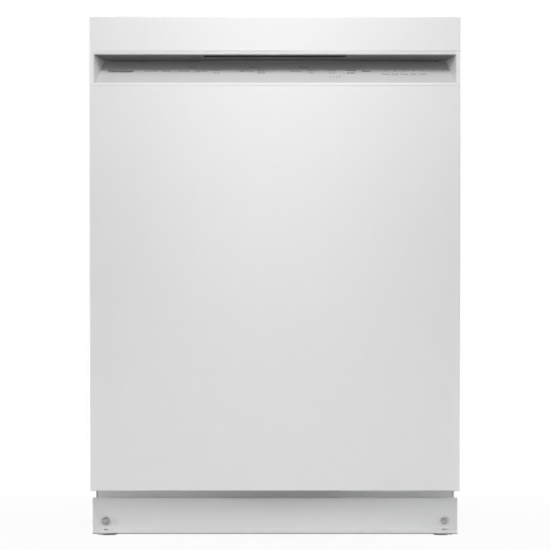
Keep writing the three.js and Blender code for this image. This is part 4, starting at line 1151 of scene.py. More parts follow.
def makeFoot(f, place):
    name = "foot_" + place
    low, high = boxOf(name)
    centre = (low + high) / 2
    base = Vector((centre.x, centre.y, low.z))
    mesh = bmesh.new()
    pad = f["pad"]
    outline = [(0, pad - 2.2), (0.4, pad - 1), (1.6, pad), (4.6, pad), (6.0, pad - 0.8), (6.8, pad - 3)]
    outline += [(8.6, 10.5), (10.2, 8.6), (11.4, 7.4), (12.2, 7.0)]
    addTurned(mesh, base, (0, 0, 1), outlineInMm(outline), 36)
    nut = [(11.4, f["nut"] - 0.9), (12.0, f["nut"]), (17.2, f["nut"]), (17.8, f["nut"] - 0.9)]
    addTurned(mesh, base, (0, 0, 1), outlineInMm(nut), 6, 0.3)
    along, top = 17.4, (high.z - low.z) / mm
    thread = []
    while along < top - 1.6:
        thread += [(along, f["rod"] - f["depth"]), (along + f["pitch"] / 2, f["rod"])]
        along += f["pitch"]
    thread += [(top - 0.9, f["rod"] - f["depth"]), (top, f["rod"] - 1.2)]
    addTurned(mesh, base, (0, 0, 1), outlineInMm(thread), 16)
    makePiece(mesh, name + "_detail", "zincSheet", name + "_body", [name])


for place in ("front_left", "front_right", "rear_left", "rear_right"):
    makeFoot(levelFoot, place)
print("feet made")

# hoses

drainRoute = [
    (89.3, -132.15, 50), (101, -132.15, 50), (145, -102.15, 44), (185, -12.15, 40), (194, 117.85, 38),
    (192, 221.65, 36), (189, 274.65, 42), (187, 295.65, 80), (186, 296.65, 150), (186, 296.65, 345),
    (186, 296.65, 580), (176, 296.65, 630), (152, 296.65, 652), (128, 296.65, 630), (118, 296.65, 580),
    (118, 296.65, 384), (118, 296.65, 198), (118, 296.65, 128),
]
fillRoute = [
    (-198, -143.15, 71), (-198, -143.15, 77), (-206, -109.15, 86), (-238, -53.15, 88), (-257, 6.85, 90),
    (-258, 46.85, 96), (-258, 56.85, 108), (-258, 56.85, 115.5),
]
hoses = {"drain": 9.5, "valley": 8.1, "rib": 4.4, "cuff": 26, "fill": 6.0, "clamp": 1.3}


def makeHoses(h):
    path = evenPath(flowingPath([millimetres(*p) for p in drainRoute], 14), h["rib"] / 4 * mm)
    flank = (h["valley"] + h["drain"]) / 2 + 0.3
    wave = [h["valley"], flank, h["drain"], flank]
    cuff = int(h["cuff"] / (h["rib"] / 4))
    sizes = []
    for k in range(len(path)):
        plain = k < cuff or k > len(path) - 1 - cuff
        sizes.append((h["drain"] - 0.4 if plain else wave[k % 4]) * mm)
    mesh = bmesh.new()
    addTube(mesh, path, sizes, 14)
    makePiece(mesh, "drain_hose_ribbed", "hoseGrey", "cabinet", ["drain_hose"], 80)
    smooth = evenPath(flowingPath([millimetres(*p) for p in fillRoute], 14), 2 * mm)
    mesh = bmesh.new()
    addTube(mesh, smooth, h["fill"] * mm, 18)
    makePiece(mesh, "fill_hose_smooth", "hoseGrey", "cabinet", ["fill_hose"], 60)
    mesh = bmesh.new()
    for line, size, places in ((path, h["drain"] - 0.4, (6, -8)), (smooth, h["fill"], (4, -4))):
        for k in places:
            here, along = line[k], (line[k + 1] - line[k - 1]).normalized()
            r0, r1 = (size - 0.3) * mm, (size + h["clamp"]) * mm
            band = [(-3.2 * mm, r0), (-3.0 * mm, r1), (3.0 * mm, r1), (3.2 * mm, r0)]
            addTurned(mesh, here, along, band, 28, ring=True)
            side = along.orthogonal().normalized()
            ear = here + side * (size + 1.6) * mm
            addTurned(mesh, ear - along * 3 * mm, along, [(0, 1.6 * mm), (6 * mm, 1.6 * mm)], 10)
    makePiece(mesh, "hose_clamps", "screwSteel", "cabinet")


makeHoses(hoses)

# heating element with its clips

element = {
    "radius": 3.9,
    "halfWide": 158,
    "front": -140,
    "back": 187,
    "bend": 45,
    "height": 108,
    "ends": 62,
    "clips": [(-158, 40, False), (158, 40, False), (0, -140, True)],  # x, y and whether turned
}


def elementRoute(e):
    x, z, b = e["halfWide"], e["height"], e["bend"]
    near = 0.29 * b
    half = [(e["ends"], e["back"], z - 7), (e["ends"] + 3, e["back"], z - 1), (e["ends"] + 18, e["back"], z)]
    half += [(x - b, e["back"], z), (x - near, e["back"] - near, z), (x, e["back"] - b, z), (x, 15, z)]
    half += [(x, e["front"] + b, z), (x - near, e["front"] + near, z)]
    half += [(x - b, e["front"], z), (0, e["front"], z)]
    return half + [(-px, py, pz) for px, py, pz in reversed(half[:-1])]


def makeElement(e):
    mesh = bmesh.new()
    path = evenPath(flowingPath([millimetres(*p) for p in elementRoute(e)], 10), 4 * mm)
    addTube(mesh, path, e["radius"] * mm, 14)
    makePiece(mesh, "heating_element_rod", "springSteel", "cabinet", ["heating_element"], 60)
    mesh = bmesh.new()
    floor = boxOf("tub_floor")[0].z / mm + 1.7
    for x, y, turned in e["clips"]:
        wide, deep = (3, 6.2) if turned else (6.2, 3)
        low, high = (x - wide, y - deep, floor), (x + wide, y + deep, floor + 1.0)
        addBlock(mesh, millimetres(*low), millimetres(*high), 0.25 * mm)
        for sign in (-1, 1):
            cx, cy = (x, y + sign * 5.4) if turned else (x + sign * 5.4, y)
            lx, ly = (3, 0.7) if turned else (0.7, 3)
            low, high = (cx - lx, cy - ly, floor + 0.6), (cx + lx, cy + ly, floor + 11.5)
            addBlock(mesh, millimetres(*low), millimetres(*high), 0.25 * mm)
    makePiece(mesh, "element_clips", "stainless", "cabinet")


makeElement(element)

# balance springs

spring = {"coil": 6.0, "wire": 0.95, "pitch": 2.5, "start": -124, "end": 50}


def makeSpring(w, side):
    name = "door_spring_" + side
    low, high = boxOf(name)
    x, z = (low.x + high.x) / 2, (low.z + high.z) / 2
    mesh = bmesh.new()
    turns = (w["end"] - w["start"]) / w["pitch"]
    points = []
    for k in range(int(turns * 14)):
        a = math.tau * k / 14
        y = (w["start"] + w["pitch"] * k / 14) * mm
        points.append((x + math.cos(a) * w["coil"] * mm, y, z + math.sin(a) * w["coil"] * mm))
    addTube(mesh, points, w["wire"] * mm, 6)
    start, end = w["start"] * mm, w["end"] * mm
    hook = [(x, end - 2 * mm, z + 5.4 * mm), (x, end + 4 * mm, z), (x, high.y - 9 * mm, z)]
    eye, loop = high.y - 5.4 * mm, 4.3 * mm
    for a in (-0.9, 0, 0.8, 1.57, 2.4, 3.1, 3.9):
        hook.append((x, eye + math.sin(a) * loop, z + math.cos(a) * loop))
    addTube(mesh, flowingPath(hook, 4), w["wire"] * mm, 6)
    makePiece(mesh, name + "_coil", "springSteel", "cabinet", [name])
    mesh = bmesh.new()
    cable = [low.y, start - 8 * mm]
    strands = 3
    for strand in range(strands):
        lay = []
        steps = 60
        for k in range(steps + 1):
            a = math.tau * (k / 5 + strand / strands)
            y = cable[0] + (cable[1] - cable[0]) * k / steps
            lay.append((x + math.cos(a) * 0.5 * mm, y, z + math.sin(a) * 0.5 * mm))
        addTube(mesh, lay, 0.62 * mm, 6)
    sleeve = [(0, 1.4 * mm), (0.6 * mm, 2.0 * mm), (9 * mm, 2.0 * mm), (9.6 * mm, 1.4 * mm)]
    addTurned(mesh, (x, start - 16 * mm, z), (0, 1, 0), sleeve, 14)
    tie = [(x, start - 8 * mm, z), (x, start - 2 * mm, z + 3 * mm), (x, start, z + 5.6 * mm)]
    addTube(mesh, flowingPath(tie, 4), 0.9 * mm, 6)
    makePiece(mesh, name + "_cable", "springSteel", "cabinet", [name])


for side in ("left", "right"):
    makeSpring(spring, side)
print("hoses, element and springs made")

# wire racks

wires = {"size": 2.0, "bend": 13, "under": 2.4, "half": 254, "front": -224.15, "back": 242.15, "dip": 58}
lowerWires = {
    "node": "lower_rack", "floor": 164, "rim": 165, "frontRim": 103, "crossings": 12, "lanes": 9,
    "tineRows": [-80, 0], "tineHalf": 228, "tines": 13, "tineTall": 70,
}
upperWires = {
    "node": "upper_rack", "floor": 504, "rim": 112, "frontRim": 82, "crossings": 12, "lanes": 9,
    "tineRows": [-95, 15, 125], "tineHalf": 132, "tines": 8, "tineTall": 70,
}


def spread(low, high, count):
    return [low + (high - low) * k / (count - 1) for k in range(count)]


def addWire(mesh, w, points, closed=False):
    path = roundedPath([millimetres(*p) for p in points], w["bend"] * mm, 4, closed)
    addTube(mesh, path, w["size"] * mm, 8, closed)


# An upright pin with a rounded tip.
def addTine(mesh, w, x, y, foot, top):
    r = w["size"] * mm
    points = [millimetres(x, y, z) for z in (foot, top - 2, top - 0.9, top - 0.2, top)]
    addTube(mesh, points, [r, r, r * 0.9, r * 0.55, r * 0.15], 8)


def makeRackWires(w, c):
    z0, x, y0, y1 = c["floor"], w["half"], w["front"], w["back"]
    under = z0 - w["under"]  # the wires across run below the lengthwise ones

    def rimAt(y):
        share = min(max((y - y0) / w["dip"], 0), 1)
        return z0 + c["frontRim"] + (c["rim"] - c["frontRim"]) * share

    mesh = bmesh.new()
    top, low = z0 + c["rim"], z0 + c["frontRim"]
    rim = [(-x, y1, top), (-x, y0 + w["dip"], top), (-x, y0, low)]
    addWire(mesh, w, rim + [(-px, py, pz) for px, py, pz in reversed(rim)], True)
    for y in spread(y0 + 0.5, y1 - 0.5, c["crossings"]):
        up = rimAt(y)
        addWire(mesh, w, [(-x, y, up), (-x, y, under), (x, y, under), (x, y, up)])
    for lane in spread(-x, x, c["lanes"])[1:-1]:
        addWire(mesh, w, [(lane, y0, low), (lane, y0, z0), (lane, y1, z0), (lane, y1, top)])
    middle = z0 + c["rim"] * 0.5
    for side in (-1, 1):
        addWire(mesh, w, [(side * (x - 2), y0 + w["dip"], middle), (side * (x - 2), y1 - 4, middle)])
    for y in c["tineRows"]:
        addWire(mesh, w, [(-x, y, under), (x, y, under)])
        for tx in spread(-c["tineHalf"], c["tineHalf"], c["tines"]):
            addTine(mesh, w, tx, y, z0 - 2, z0 + c["tineTall"])
    body = c["node"] + "_body"
    makePiece(mesh, c["node"] + "_wires", "coatedWire", body, [c["node"]], 60)


wheel = {
    "radius": 14,
    "inner": 251,
    "outer": 261,
    "height": 132.3,
    "places": [-150, 180],
    "spokes": 6,
    "plate": (245.6, 249.4),  # the bracket's two faces, and its top
    "plateTop": 172,
    "roller": 4.4,
    "rollerAt": 270.6,
    "rollerHeight": 562,
}


def addWheel(mesh, w, side, y):
    start = millimetres(side * w["inner"], y, w["height"])
    axis = (side, 0, 0)
    r, wide = w["radius"], w["outer"] - w["inner"]
    tyre = [(0.4, r - 1.2), (1.4, r), (wide - 1.4, r)]
    tyre += [(wide - 0.4, r - 1.2), (wide - 0.4, r - 4), (0.4, r - 4)]
    addTurned(mesh, start, axis, outlineInMm(tyre), 32, ring=True)
    web = [(3.6, r - 3.6), (6.4, r - 3.6)]
    addTurned(mesh, start, axis, outlineInMm(web), 32)
    hub = [(-2.4, 3.6), (0, 4.6), (wide - 0.6, 4.6), (wide, 3.8)]
    addTurned(mesh, start, axis, outlineInMm(hub), 20)
    for k in range(w["spokes"]):
        a = math.tau * k / w["spokes"]
        near = start + millimetres(side * 7.2, math.cos(a) * 4, math.sin(a) * 4)
        far = start + millimetres(side * 7.2, math.cos(a) * (r - 4), math.sin(a) * (r - 4))
        addTube(mesh, [near, far], 1.3 * mm, 6)


def makeWheels(w):
    mesh = bmesh.new()
    for side in (-1, 1):
        for y in w["places"]:
            addWheel(mesh, w, side, y)
            x0, x1 = sorted(side * face for face in w["plate"])
            z = w["height"]
            addBlock(mesh, millimetres(x0, y - 6, z - 6), millimetres(x1, y + 6, w["plateTop"]), 1.4 * mm)
            addBlock(mesh, millimetres(x0 - 2, y - 16, 158), millimetres(x1 + 2, y + 16, 168.5), 1.4 * mm)
    makePiece(mesh, "lower_rack_wheels", "greyPlastic", "lower_rack_body", ["lower_rack"])
    mesh = bmesh.new()
    for side in (-1, 1):
        for y in w["places"]:
            place = millimetres(side * w["rollerAt"], y, w["rollerHeight"])
            roller = [(0, 3.2), (0.6, w["roller"]), (4.2, w["roller"]), (4.8, 3.2)]
            addTurned(mesh, place, (side, 0, 0), outlineInMm(roller), 22)
            axle = [(-18.5, 2.0), (-13.5, 2.0), (-13.2, 5.4), (-9.6, 5.4), (-9.2, 2.2), (0.3, 2.2)]
            addTurned(mesh, place, (side, 0, 0), outlineInMm(axle), 18)
            x0, x1 = sorted((side * 250.4, side * 254.6))
            addBlock(mesh, millimetres(x0, y - 13, 553), millimetres(x1, y + 13, 572), 1.6 * mm)
    makePiece(mesh, "upper_rack_rollers", "greyPlastic", "upper_rack_body", ["upper_rack"])


# The upper rack's water duct, its hub over the arm and its port at the back.
manifold = {"half": 13.6, "front": -6, "back": 241.5, "low": 488.3, "high": 499.8, "hub": 16, "port": 12}


def makeManifold(m):
    mesh = bmesh.new()
    low = millimetres(-m["half"], m["front"], m["low"])
    high = millimetres(m["half"], m["back"] - 8, m["high"])
    addBlock(mesh, low, high, 3 * mm, 3)
    hub = [(477, 13), (478.2, m["hub"]), (486, m["hub"]), (489, 20), (499.9, 18.6), (501.2, 14)]
    addTurned(mesh, (0, 0.015, 0), (0, 0, 1), outlineInMm(hub), 28)
    port = [(-14, 8), (-8, 8.6), (-7, 10.4), (-5.6, 9), (-4.2, 11), (-2.8, 9.4)]
    port += [(-1.4, m["port"]), (2.4, m["port"] - 0.4)]
    addTurned(mesh, millimetres(0, m["back"], 494), (0, 1, 0), outlineInMm(port), 24)
    for y in (70, 150):
        addBlock(mesh, millimetres(-17, y - 5, 497), millimetres(17, y + 5, 503.5), 1.2 * mm)
    makePiece(mesh, "upper_rack_manifold", "greyPlastic", "upper_rack_body", ["upper_rack"])


foldRow = {
    "y": 80,
    "z": 170,
    "half": 224,
    "tineHalf": 210,
    "tines": 12,
    "tall": 62,
    "clips": [-190.9, 0, 190.9],
}


def makeFoldingTines(f, w):
    mesh = bmesh.new()
    y, z, x = f["y"], f["z"], f["half"]
    bar = [millimetres(px, y, z) for px in (-x, -x + 1, x - 1, x)]
    addTube(mesh, bar, [1.6 * mm, 2.3 * mm, 2.3 * mm, 1.6 * mm], 12)
    for tx in spread(-f["tineHalf"], f["tineHalf"], f["tines"]):
        addTine(mesh, w, tx, y, z, z + f["tall"])
    body = "folding_tines_body"
    makePiece(mesh, "folding_tine_row", "coatedWire", body, ["folding_tines"], 60)
    mesh = bmesh.new()
    for x in f["clips"]:
        collar = [(-5, 4.2), (5, 4.2), (5, 2.6), (-5, 2.6)]
        addTurned(mesh, millimetres(x, y, z), (1, 0, 0), outlineInMm(collar), 18, ring=True)
        addBlock(mesh, millimetres(x - 5, y - 9, z - 6.6), millimetres(x + 5, y + 9, z - 3), 1 * mm)
    makePiece(mesh, "folding_tine_clips", "greyPlastic", "lower_rack_body", ["lower_rack"])


cutlery = {"wall": 2.4, "pitch": 8.2, "slat": 2.6, "cells": 4, "foot": 12, "band": 4.5, "rim": 7, "grip": 3.9}


def makeBasket(c):
    low, high = boxOf("silverware_basket")
    x0, x1, y0, y1, z0 = low.x / mm, high.x / mm, low.y / mm, high.y / mm - 2, low.z / mm
    z1 = z0 + 117
    t, slat = c["wall"], c["slat"]
    mesh = bmesh.new()

    def bar(a, b, soft=0.5):
        addBlock(mesh, millimetres(*a), millimetres(*b), soft * mm, 1)

    for za, zb in ((z0, z0 + c["foot"]), (z0 + 62, z0 + 62 + c["band"]), (z1 - c["rim"], z1)):
        bar((x0, y0, za), (x1, y0 + t, zb))
        bar((x0, y1 - t, za), (x1, y1, zb))
        bar((x0, y0, za), (x0 + t, y1, zb))
        bar((x1 - t, y0, za), (x1, y1, zb))
        for k in range(1, c["cells"]):
            x = x0 + (x1 - x0) * k / c["cells"]
            bar((x - t / 2, y0 + 1, za), (x + t / 2, y1 - 1, zb))
    across = round((x1 - x0) / c["pitch"])
    for k in range(1, across):
        x = x0 + (x1 - x0) * k / across
        for y in (y0 + 0.3, y1 - t + 0.3):
            bar((x - slat / 2, y, z0 + 2), (x + slat / 2, y + t - 0.6, z1 - 2), 0.4)
        bar((x - slat / 2, y0 + 1, z0 + 0.2), (x + slat / 2, y1 - 1, z0 + t), 0.4)
    deep = round((y1 - y0) / c["pitch"])
    for k in range(1, deep):
        y = y0 + (y1 - y0) * k / deep
        for x in spread(x0, x1 - t, c["cells"] + 1):
            bar((x + 0.3, y - slat / 2, z0 + 2), (x + t - 0.3, y + slat / 2, z1 - 2), 0.4)
    for y in (y0 + 20, y0 + 40):
        bar((x0 + 1, y - 1.5, z0 + 0.1), (x1 - 1, y + 1.5, z0 + t + 0.6))
    y, top = high.y / mm - 4, high.z / mm - 4.2
    handle = [(-62, y, z1 - 32), (-62, y, top), (62, y, top), (62, y, z1 - 32)]
    addTube(mesh, roundedPath([millimetres(*p) for p in handle], 20 * mm, 8), c["grip"] * mm, 14)
    ribs = [(k * 7 - 35, y, top) for k in range(11)]
    for rib in ribs:
        grip = [(-1.2, 3.9), (-0.6, 4.15), (0.6, 4.15), (1.2, 3.9)]
        addTurned(mesh, millimetres(*rib), (1, 0, 0), outlineInMm(grip), 16)
    body = "silverware_basket_body"
    makePiece(mesh, "cutlery_basket", "paleGreyPlastic", body, ["silverware_basket"])


cupShelf = {"inset": 2.0, "bars": 10, "bend": 9}


def makeCupShelf(c, w, side):
    name = "cup_shelf_" + side
    low, high = boxOf(name)
    i = c["inset"]
    x0, x1, y0, y1 = low.x / mm + i, high.x / mm - i, low.y / mm + i, high.y / mm - i
    z = (low.z + high.z) / 2 / mm
    outer, inner = (x0, x1) if side == "left" else (x1, x0)
    mesh = bmesh.new()
    loop = [(outer, y0, z), (inner, y0, z), (inner, y1, z), (outer, y1, z)]
    path = roundedPath([millimetres(*p) for p in loop], c["bend"] * mm, 4, True)
    addTube(mesh, path, w["size"] * mm, 8, True)
    for y in spread(y0, y1, c["bars"])[1:-1]:
        addTube(mesh, [millimetres(outer, y, z), millimetres(inner, y, z)], (w["size"] - 0.1) * mm, 8)
    middle = (outer + inner) / 2
    addTube(mesh, [millimetres(middle, y0, z), millimetres(middle, y1, z)], (w["size"] - 0.1) * mm, 8)
    makePiece(mesh, name + "_wires", "coatedWire", name + "_body", [name], 60)


for rack in (lowerWires, upperWires):
    makeRackWires(wires, rack)
makeWheels(wheel)
makeManifold(manifold)
makeFoldingTines(foldRow, wires)
makeBasket(cutlery)
for side in ("left", "right"):
    makeCupShelf(cupShelf, wires, side)
print("racks made")

# spray arm jets

jets = {"places": [52, 78, 104, 130, 156, 182, 206], "radius": 4.6, "tall": 1.5, "bore": 1.7}


def makeJets(j, name, reach, lift):
    low, high = boxOf(name)
    z = low.z + lift * mm
    y = (low.y + high.y) / 2
    mesh = bmesh.new()
    for k, x in enumerate(j["places"]):
        if x > reach:
            continue
        for sign in (-1, 1):
            place = Vector((sign * x * mm, y + sign * (3.5 if k % 2 else -4.5) * mm, z))
            r, b, t = j["radius"], j["bore"], j["tall"]
            lip = [(-0.4, r), (0.2, r), (t, r - 1.4), (t, b), (-0.3, b)]
            addTurned(mesh, place, (0, 0, 1), outlineInMm(lip), 18, ring=True)
            addTurned(mesh, place, (0, 0, 1), [(-0.35 * mm, b * mm), (0.12 * mm, b * mm)], 18)
    makePiece(mesh, name + "_jets", "darkPlastic", name + "_body")


makeJets(jets, "lower_spray_arm", 210, 13)
makeJets(jets, "upper_spray_arm", 200, 18)

# screws in the chassis and the tub's frame

chassisScrew = {
    "hexagon": 3.6,
    "washer": 5.0,
    "tall": 2.6,
    "onRails": [(-188, 60), (-188, 84), (262, 66), (262, 84), (40, 74), (150, 74)],  # y and z
    "onFrame": [230, 400, 570, 740],  # heights
    "onRear": [-250, -90, 90, 250],
}


def addScrewHead(mesh, c, place, out):
    flange = [(0.05, c["washer"]), (0.5, c["washer"]), (1.0, c["washer"] - 1.2)]
    addTurned(mesh, place, out, outlineInMm(flange), 20)
    head = [(0.7, c["hexagon"]), (c["tall"] - 0.4, c["hexagon"]), (c["tall"], c["hexagon"] - 0.5)]
    addTurned(mesh, place, out, outlineInMm(head), 6)


def makeChassisScrews(c):
    mesh = bmesh.new()
    rail = boxOf("side_rail_right")[1].x / mm - 1.5
    frame = boxOf("front_frame")[1].x / mm
    for sign in (-1, 1):
        for y, z in c["onRails"]:
            addScrewHead(mesh, c, millimetres(sign * rail, y, z), (sign, 0, 0))
        for z in c["onFrame"]:
            addScrewHead(mesh, c, millimetres(sign * frame, -245, z), (sign, 0, 0))
    for x in c["onRear"]:
        addScrewHead(mesh, c, millimetres(x, 274.1, 80), (0, 1, 0))
    makePiece(mesh, "chassis_screws", "screwSteel", "cabinet")


makeChassisScrews(chassisScrew)
print("jets and screws made")

# door seal, with a round bulb between two lips

gasket = {"bulb": 2.5, "lip": 1.0, "bulbIn": 3.9, "lipIn": (1.1, 6.4), "corner": 30}


def makeGasket(g):
    low, high = boxOf("door_gasket")
    mesh = bmesh.new()
    lines = [(g["bulbIn"], g["bulb"], low.y + g["bulb"] * mm)]
    lines += [(inset, g["lip"], high.y - g["lip"] * mm) for inset in g["lipIn"]]
    for inset, radius, y in lines:
        x, top = high.x - inset * mm, high.z - inset * mm
        corners = [(-x, y, low.z), (-x, y, top), (x, y, top), (x, y, low.z)]
        addTube(mesh, roundedPath(corners, (g["corner"] - inset) * mm, 10), radius * mm, 12)
    addFootStrips(mesh, g, low, high)
    makePiece(mesh, "door_gasket_bulb", "rubber", "cabinet", ["door_gasket"])


# The flat web that the bulb and lips stand on.
def addFootStrips(mesh, g, low, high):
    y = (high.y - 0.9 * mm, high.y)
    wide, corner = 7.2 * mm, g["corner"] * mm
    for sign in (-1, 1):
        sides = sorted((sign * (high.x - 0.2 * mm), sign * (high.x - wide)))
        addBlock(mesh, (sides[0], y[0], low.z), (sides[1], y[1], high.z - corner), 0.2 * mm)
    reach = high.x - corner
    addBlock(mesh, (-reach, y[0], high.z - wide), (reach, y[1], high.z - 0.2 * mm), 0.2 * mm)


makeGasket(gasket)

# pressed beads on the door's inner face

bead = {
    "radius": 1.5,
    "inset": 46,
    "corner": 26,
    "rows": [190, 250, 310, 370, 590, 650, 710, 770],  # heights
    "reach": 208,
}


def makeLinerBeads(b):
    low, high = boxOf("door_liner")
    mesh = bmesh.new()
    x, foot, top = high.x - b["inset"] * mm, low.z + b["inset"] * mm, high.z - 60 * mm
    outline = [(-x, high.y, foot), (x, high.y, foot), (x, high.y, top), (-x, high.y, top)]
    addTube(mesh, roundedPath(outline, b["corner"] * mm, 8, closed=True), b["radius"] * mm, 10, closed=True)
    for z in b["rows"]:
        ends = [millimetres(side, 0, z) for side in (-b["reach"], b["reach"])]
        path = [Vector((p.x, high.y, p.z)) for p in evenPath(ends, 26 * mm)]
        taper = [b["radius"] * (0.3 if k in (0, len(path) - 1) else 1) * mm for k in range(len(path))]
        addTube(mesh, path, taper, 10)
    makePiece(mesh, "door_liner_beads", "stainless", "door")


makeLinerBeads(bead)

# detergent unit

detergent = {"rim": 1.3, "guide": 2.6, "guideTall": 3.2, "knurls": 36, "button": 7.5, "ridges": 6}


def makeDispenserTrim(d):
    low, high = boxOf("dispenser")
    lidLow, lidHigh = boxOf("dispenser_lid")
    capLow, capHigh = boxOf("rinse_cap")
    face = high.y
    mesh = bmesh.new()
    x, z = (low.x + 4 * mm, high.x - 4 * mm), (low.z + 4 * mm, high.z - 4 * mm)
    outline = [(x[0], face, z[0]), (x[1], face, z[0]), (x[1], face, z[1]), (x[0], face, z[1])]
    addTube(mesh, roundedPath(outline, 7 * mm, 6, closed=True), d["rim"] * mm, 10, closed=True)
    for edge, sign in ((lidLow.x, -1), (lidHigh.x, 1)):
        sides = sorted((edge + sign * 1.0 * mm, edge + sign * (1.0 + d["guide"]) * mm))
        top = high.z - 7 * mm
        foot, crown = (sides[0], face - 0.4 * mm, lidLow.z), (sides[1], face + d["guideTall"] * mm, top)
        addBlock(mesh, foot, crown, 0.5 * mm)
    middle = (capLow.x + capHigh.x) / 2
    button = [(-0.4, d["button"]), (1.6, d["button"]), (2.4, d["button"] - 1)]
    button += [(2.4, 2.5), (1.5, 1.8), (1.5, 0.2)]
    place = Vector((middle, face, lidLow.z + 12 * mm))
    addTurned(mesh, place, (0, 1, 0), outlineInMm(button), 28)
    for k in range(4):
        z = lidLow.z + (26 + 3.4 * k) * mm
        foot, crown = (middle - 9 * mm, face - 0.3 * mm, z), (middle + 9 * mm, face + 0.8 * mm, z + 1.4 * mm)
        addBlock(mesh, foot, crown, 0.3 * mm)
    makePiece(mesh, "dispenser_trim", "greyPlastic", "door")

    mesh = bmesh.new()
    for k in range(d["ridges"]):
        z = lidLow.z + (18 + 5 * k) * mm
        y = lidHigh.y - 1.8 * mm
        foot, crown = (lidLow.x + 20 * mm, y, z), (lidHigh.x - 20 * mm, y + 0.9 * mm, z + 1.6 * mm)
        addBlock(mesh, foot, crown, 0.3 * mm)
    makePiece(mesh, "dispenser_lid_ridges", "paleGreyPlastic", "dispenser_lid_body")

    mesh = bmesh.new()
    radius = (capHigh.x - capLow.x) / 2
    height = (capLow.z + capHigh.z) / 2
    for k in range(d["knurls"]):
        a = math.tau * k / d["knurls"]
        x, z = middle + radius * math.cos(a), height + radius * math.sin(a)
        addTube(mesh, [(x, capLow.y + 0.3 * mm, z), (x, capLow.y + 2.6 * mm, z)], 0.7 * mm, 6)
    makePiece(mesh, "rinse_cap_knurls", "paleGreyPlastic", "rinse_cap_body")


makeDispenserTrim(detergent)
print("door seal, liner beads and detergent unit made")

# motor, pump, valve and supply box

motorTrim = {"axis": 37, "ends": (16, 22), "radius": 34, "fins": 28, "fin": 0.9, "bolts": 4, "circle": 27}
pumpTrim = {"radius": 23, "ends": (4, 28), "fins": 18, "fin": 0.8, "bolts": 3, "circle": 17}
valveTrim = {"turns": 9, "wire": 1.0, "pitch": 2.3, "corner": 3, "blades": (9, 19), "blade": (0.9, 3, 7)}
boxTrim = {"radii": (11.0, 8.2), "rib": 0.45, "ribWide": 0.8, "screwIn": 9}


# Straight ribs round a can that lies along a line.
def addFins(mesh, start, end, radius, fins, size):
    axis = (Vector(end) - Vector(start)).normalized()
    side = axis.orthogonal().normalized()
    other = axis.cross(side)
    for k in range(fins):
        a = math.tau * (k + 0.5) / fins
        off = (side * math.cos(a) + other * math.sin(a)) * radius
        addTube(mesh, [Vector(start) + off, Vector(end) + off], size, 6)


def makeMotorTrim(m):
    low, high = boxOf("wash_motor")
    y, z = (low.y + high.y) / 2, high.z - m["axis"] * mm
    mesh = bmesh.new()
    start = Vector((low.x + m["ends"][0] * mm, y, z))
    end = Vector((high.x - m["ends"][1] * mm, y, z))
    addFins(mesh, start, end, m["radius"] * mm, m["fins"], m["fin"] * mm)
    for k in range(m["bolts"]):
        a = math.tau * (k + 0.5) / m["bolts"]
        circle = m["circle"] * mm
        spot = (low.x + 10 * mm, y + circle * math.cos(a), z + circle * math.sin(a))
        addTurned(mesh, spot, (-1, 0, 0), outlineInMm([(-0.3, 3.4), (2.2, 3.4), (2.6, 2.8)]), 6)
    top = z + (m["radius"] - 1) * mm
    foot, crown = (start.x + 22 * mm, y - 13 * mm, top), (start.x + 48 * mm, y + 13 * mm, top + 7 * mm)
    addBlock(mesh, foot, crown, 1.2 * mm)
    makePiece(mesh, "wash_motor_ribs", "darkPlastic", "cabinet")


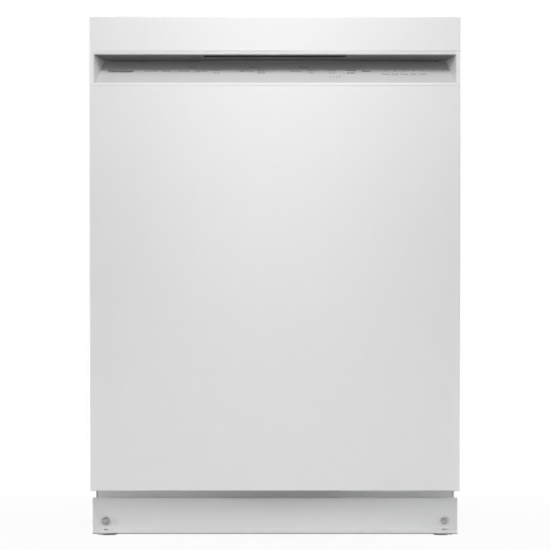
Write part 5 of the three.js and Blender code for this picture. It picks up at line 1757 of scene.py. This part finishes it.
def makePumpTrim(p):
    low = boxOf("drain_pump")[0]
    x, z = low.x + p["radius"] * mm, low.z + p["radius"] * mm
    mesh = bmesh.new()
    start, end = [(x, low.y + along * mm, z) for along in p["ends"]]
    addFins(mesh, start, end, p["radius"] * mm, p["fins"], p["fin"] * mm)
    for k in range(p["bolts"]):
        a = math.tau * k / p["bolts"] + 0.5
        circle = p["circle"] * mm
        spot = (x + circle * math.cos(a), low.y, z + circle * math.sin(a))
        addTurned(mesh, spot, (0, -1, 0), outlineInMm([(-0.3, 2.6), (1.2, 2.6), (1.6, 2.0)]), 12)
    makePiece(mesh, "drain_pump_ribs", "darkPlastic", "cabinet")


# The valve's coil is wound with wire, with two blades on top for the leads.
def makeValveTrim(v):
    low, high = boxOf("inlet_valve")
    x, y = (low.x + 4 * mm, low.x + 32 * mm), (low.y + 5 * mm, high.y - 5 * mm)
    mesh = bmesh.new()
    for k in range(v["turns"]):
        z = high.z - (4 + v["pitch"] * k) * mm
        ring = [(x[0], y[0], z), (x[1], y[0], z), (x[1], y[1], z), (x[0], y[1], z)]
        addTube(mesh, roundedPath(ring, v["corner"] * mm, 4, closed=True), v["wire"] * mm, 8, closed=True)
    makePiece(mesh, "inlet_valve_coil", "springSteel", "cabinet")
    mesh = bmesh.new()
    thick, half, tall = v["blade"]
    middle = (low.y + high.y) / 2
    for across in v["blades"]:
        spot = low.x + across * mm
        foot = (spot, middle - half * mm, high.z - 0.5 * mm)
        crown = (spot + thick * mm, middle + half * mm, high.z + tall * mm)
        addBlock(mesh, foot, crown, 0.2 * mm)
    makePiece(mesh, "inlet_valve_blades", "screwSteel", "cabinet")


def makeKnockouts(b):
    low, high = boxOf("junction_box")
    y, z = (low.y + high.y) / 2, (low.z + high.z) / 2
    mesh = bmesh.new()
    for x, out in ((low.x, -1), (high.x, 1)):
        for radius in b["radii"]:
            inner = radius - b["ribWide"]
            ring = [(-0.2, radius), (b["rib"], radius), (b["rib"], inner), (-0.2, inner)]
            addTurned(mesh, (x, y, z), (out, 0, 0), outlineInMm(ring), 32, ring=True)
    for across in (low.x + b["screwIn"] * mm, high.x - b["screwIn"] * mm):
        addScrewHead(mesh, chassisScrew, Vector((across, low.y, z)), (0, -1, 0))
    makePiece(mesh, "junction_box_knockouts", "zincSheet", "cabinet")


makeMotorTrim(motorTrim)
makePumpTrim(pumpTrim)
makeValveTrim(valveTrim)
makeKnockouts(boxTrim)
print("motor, pump, valve and supply box trimmed")
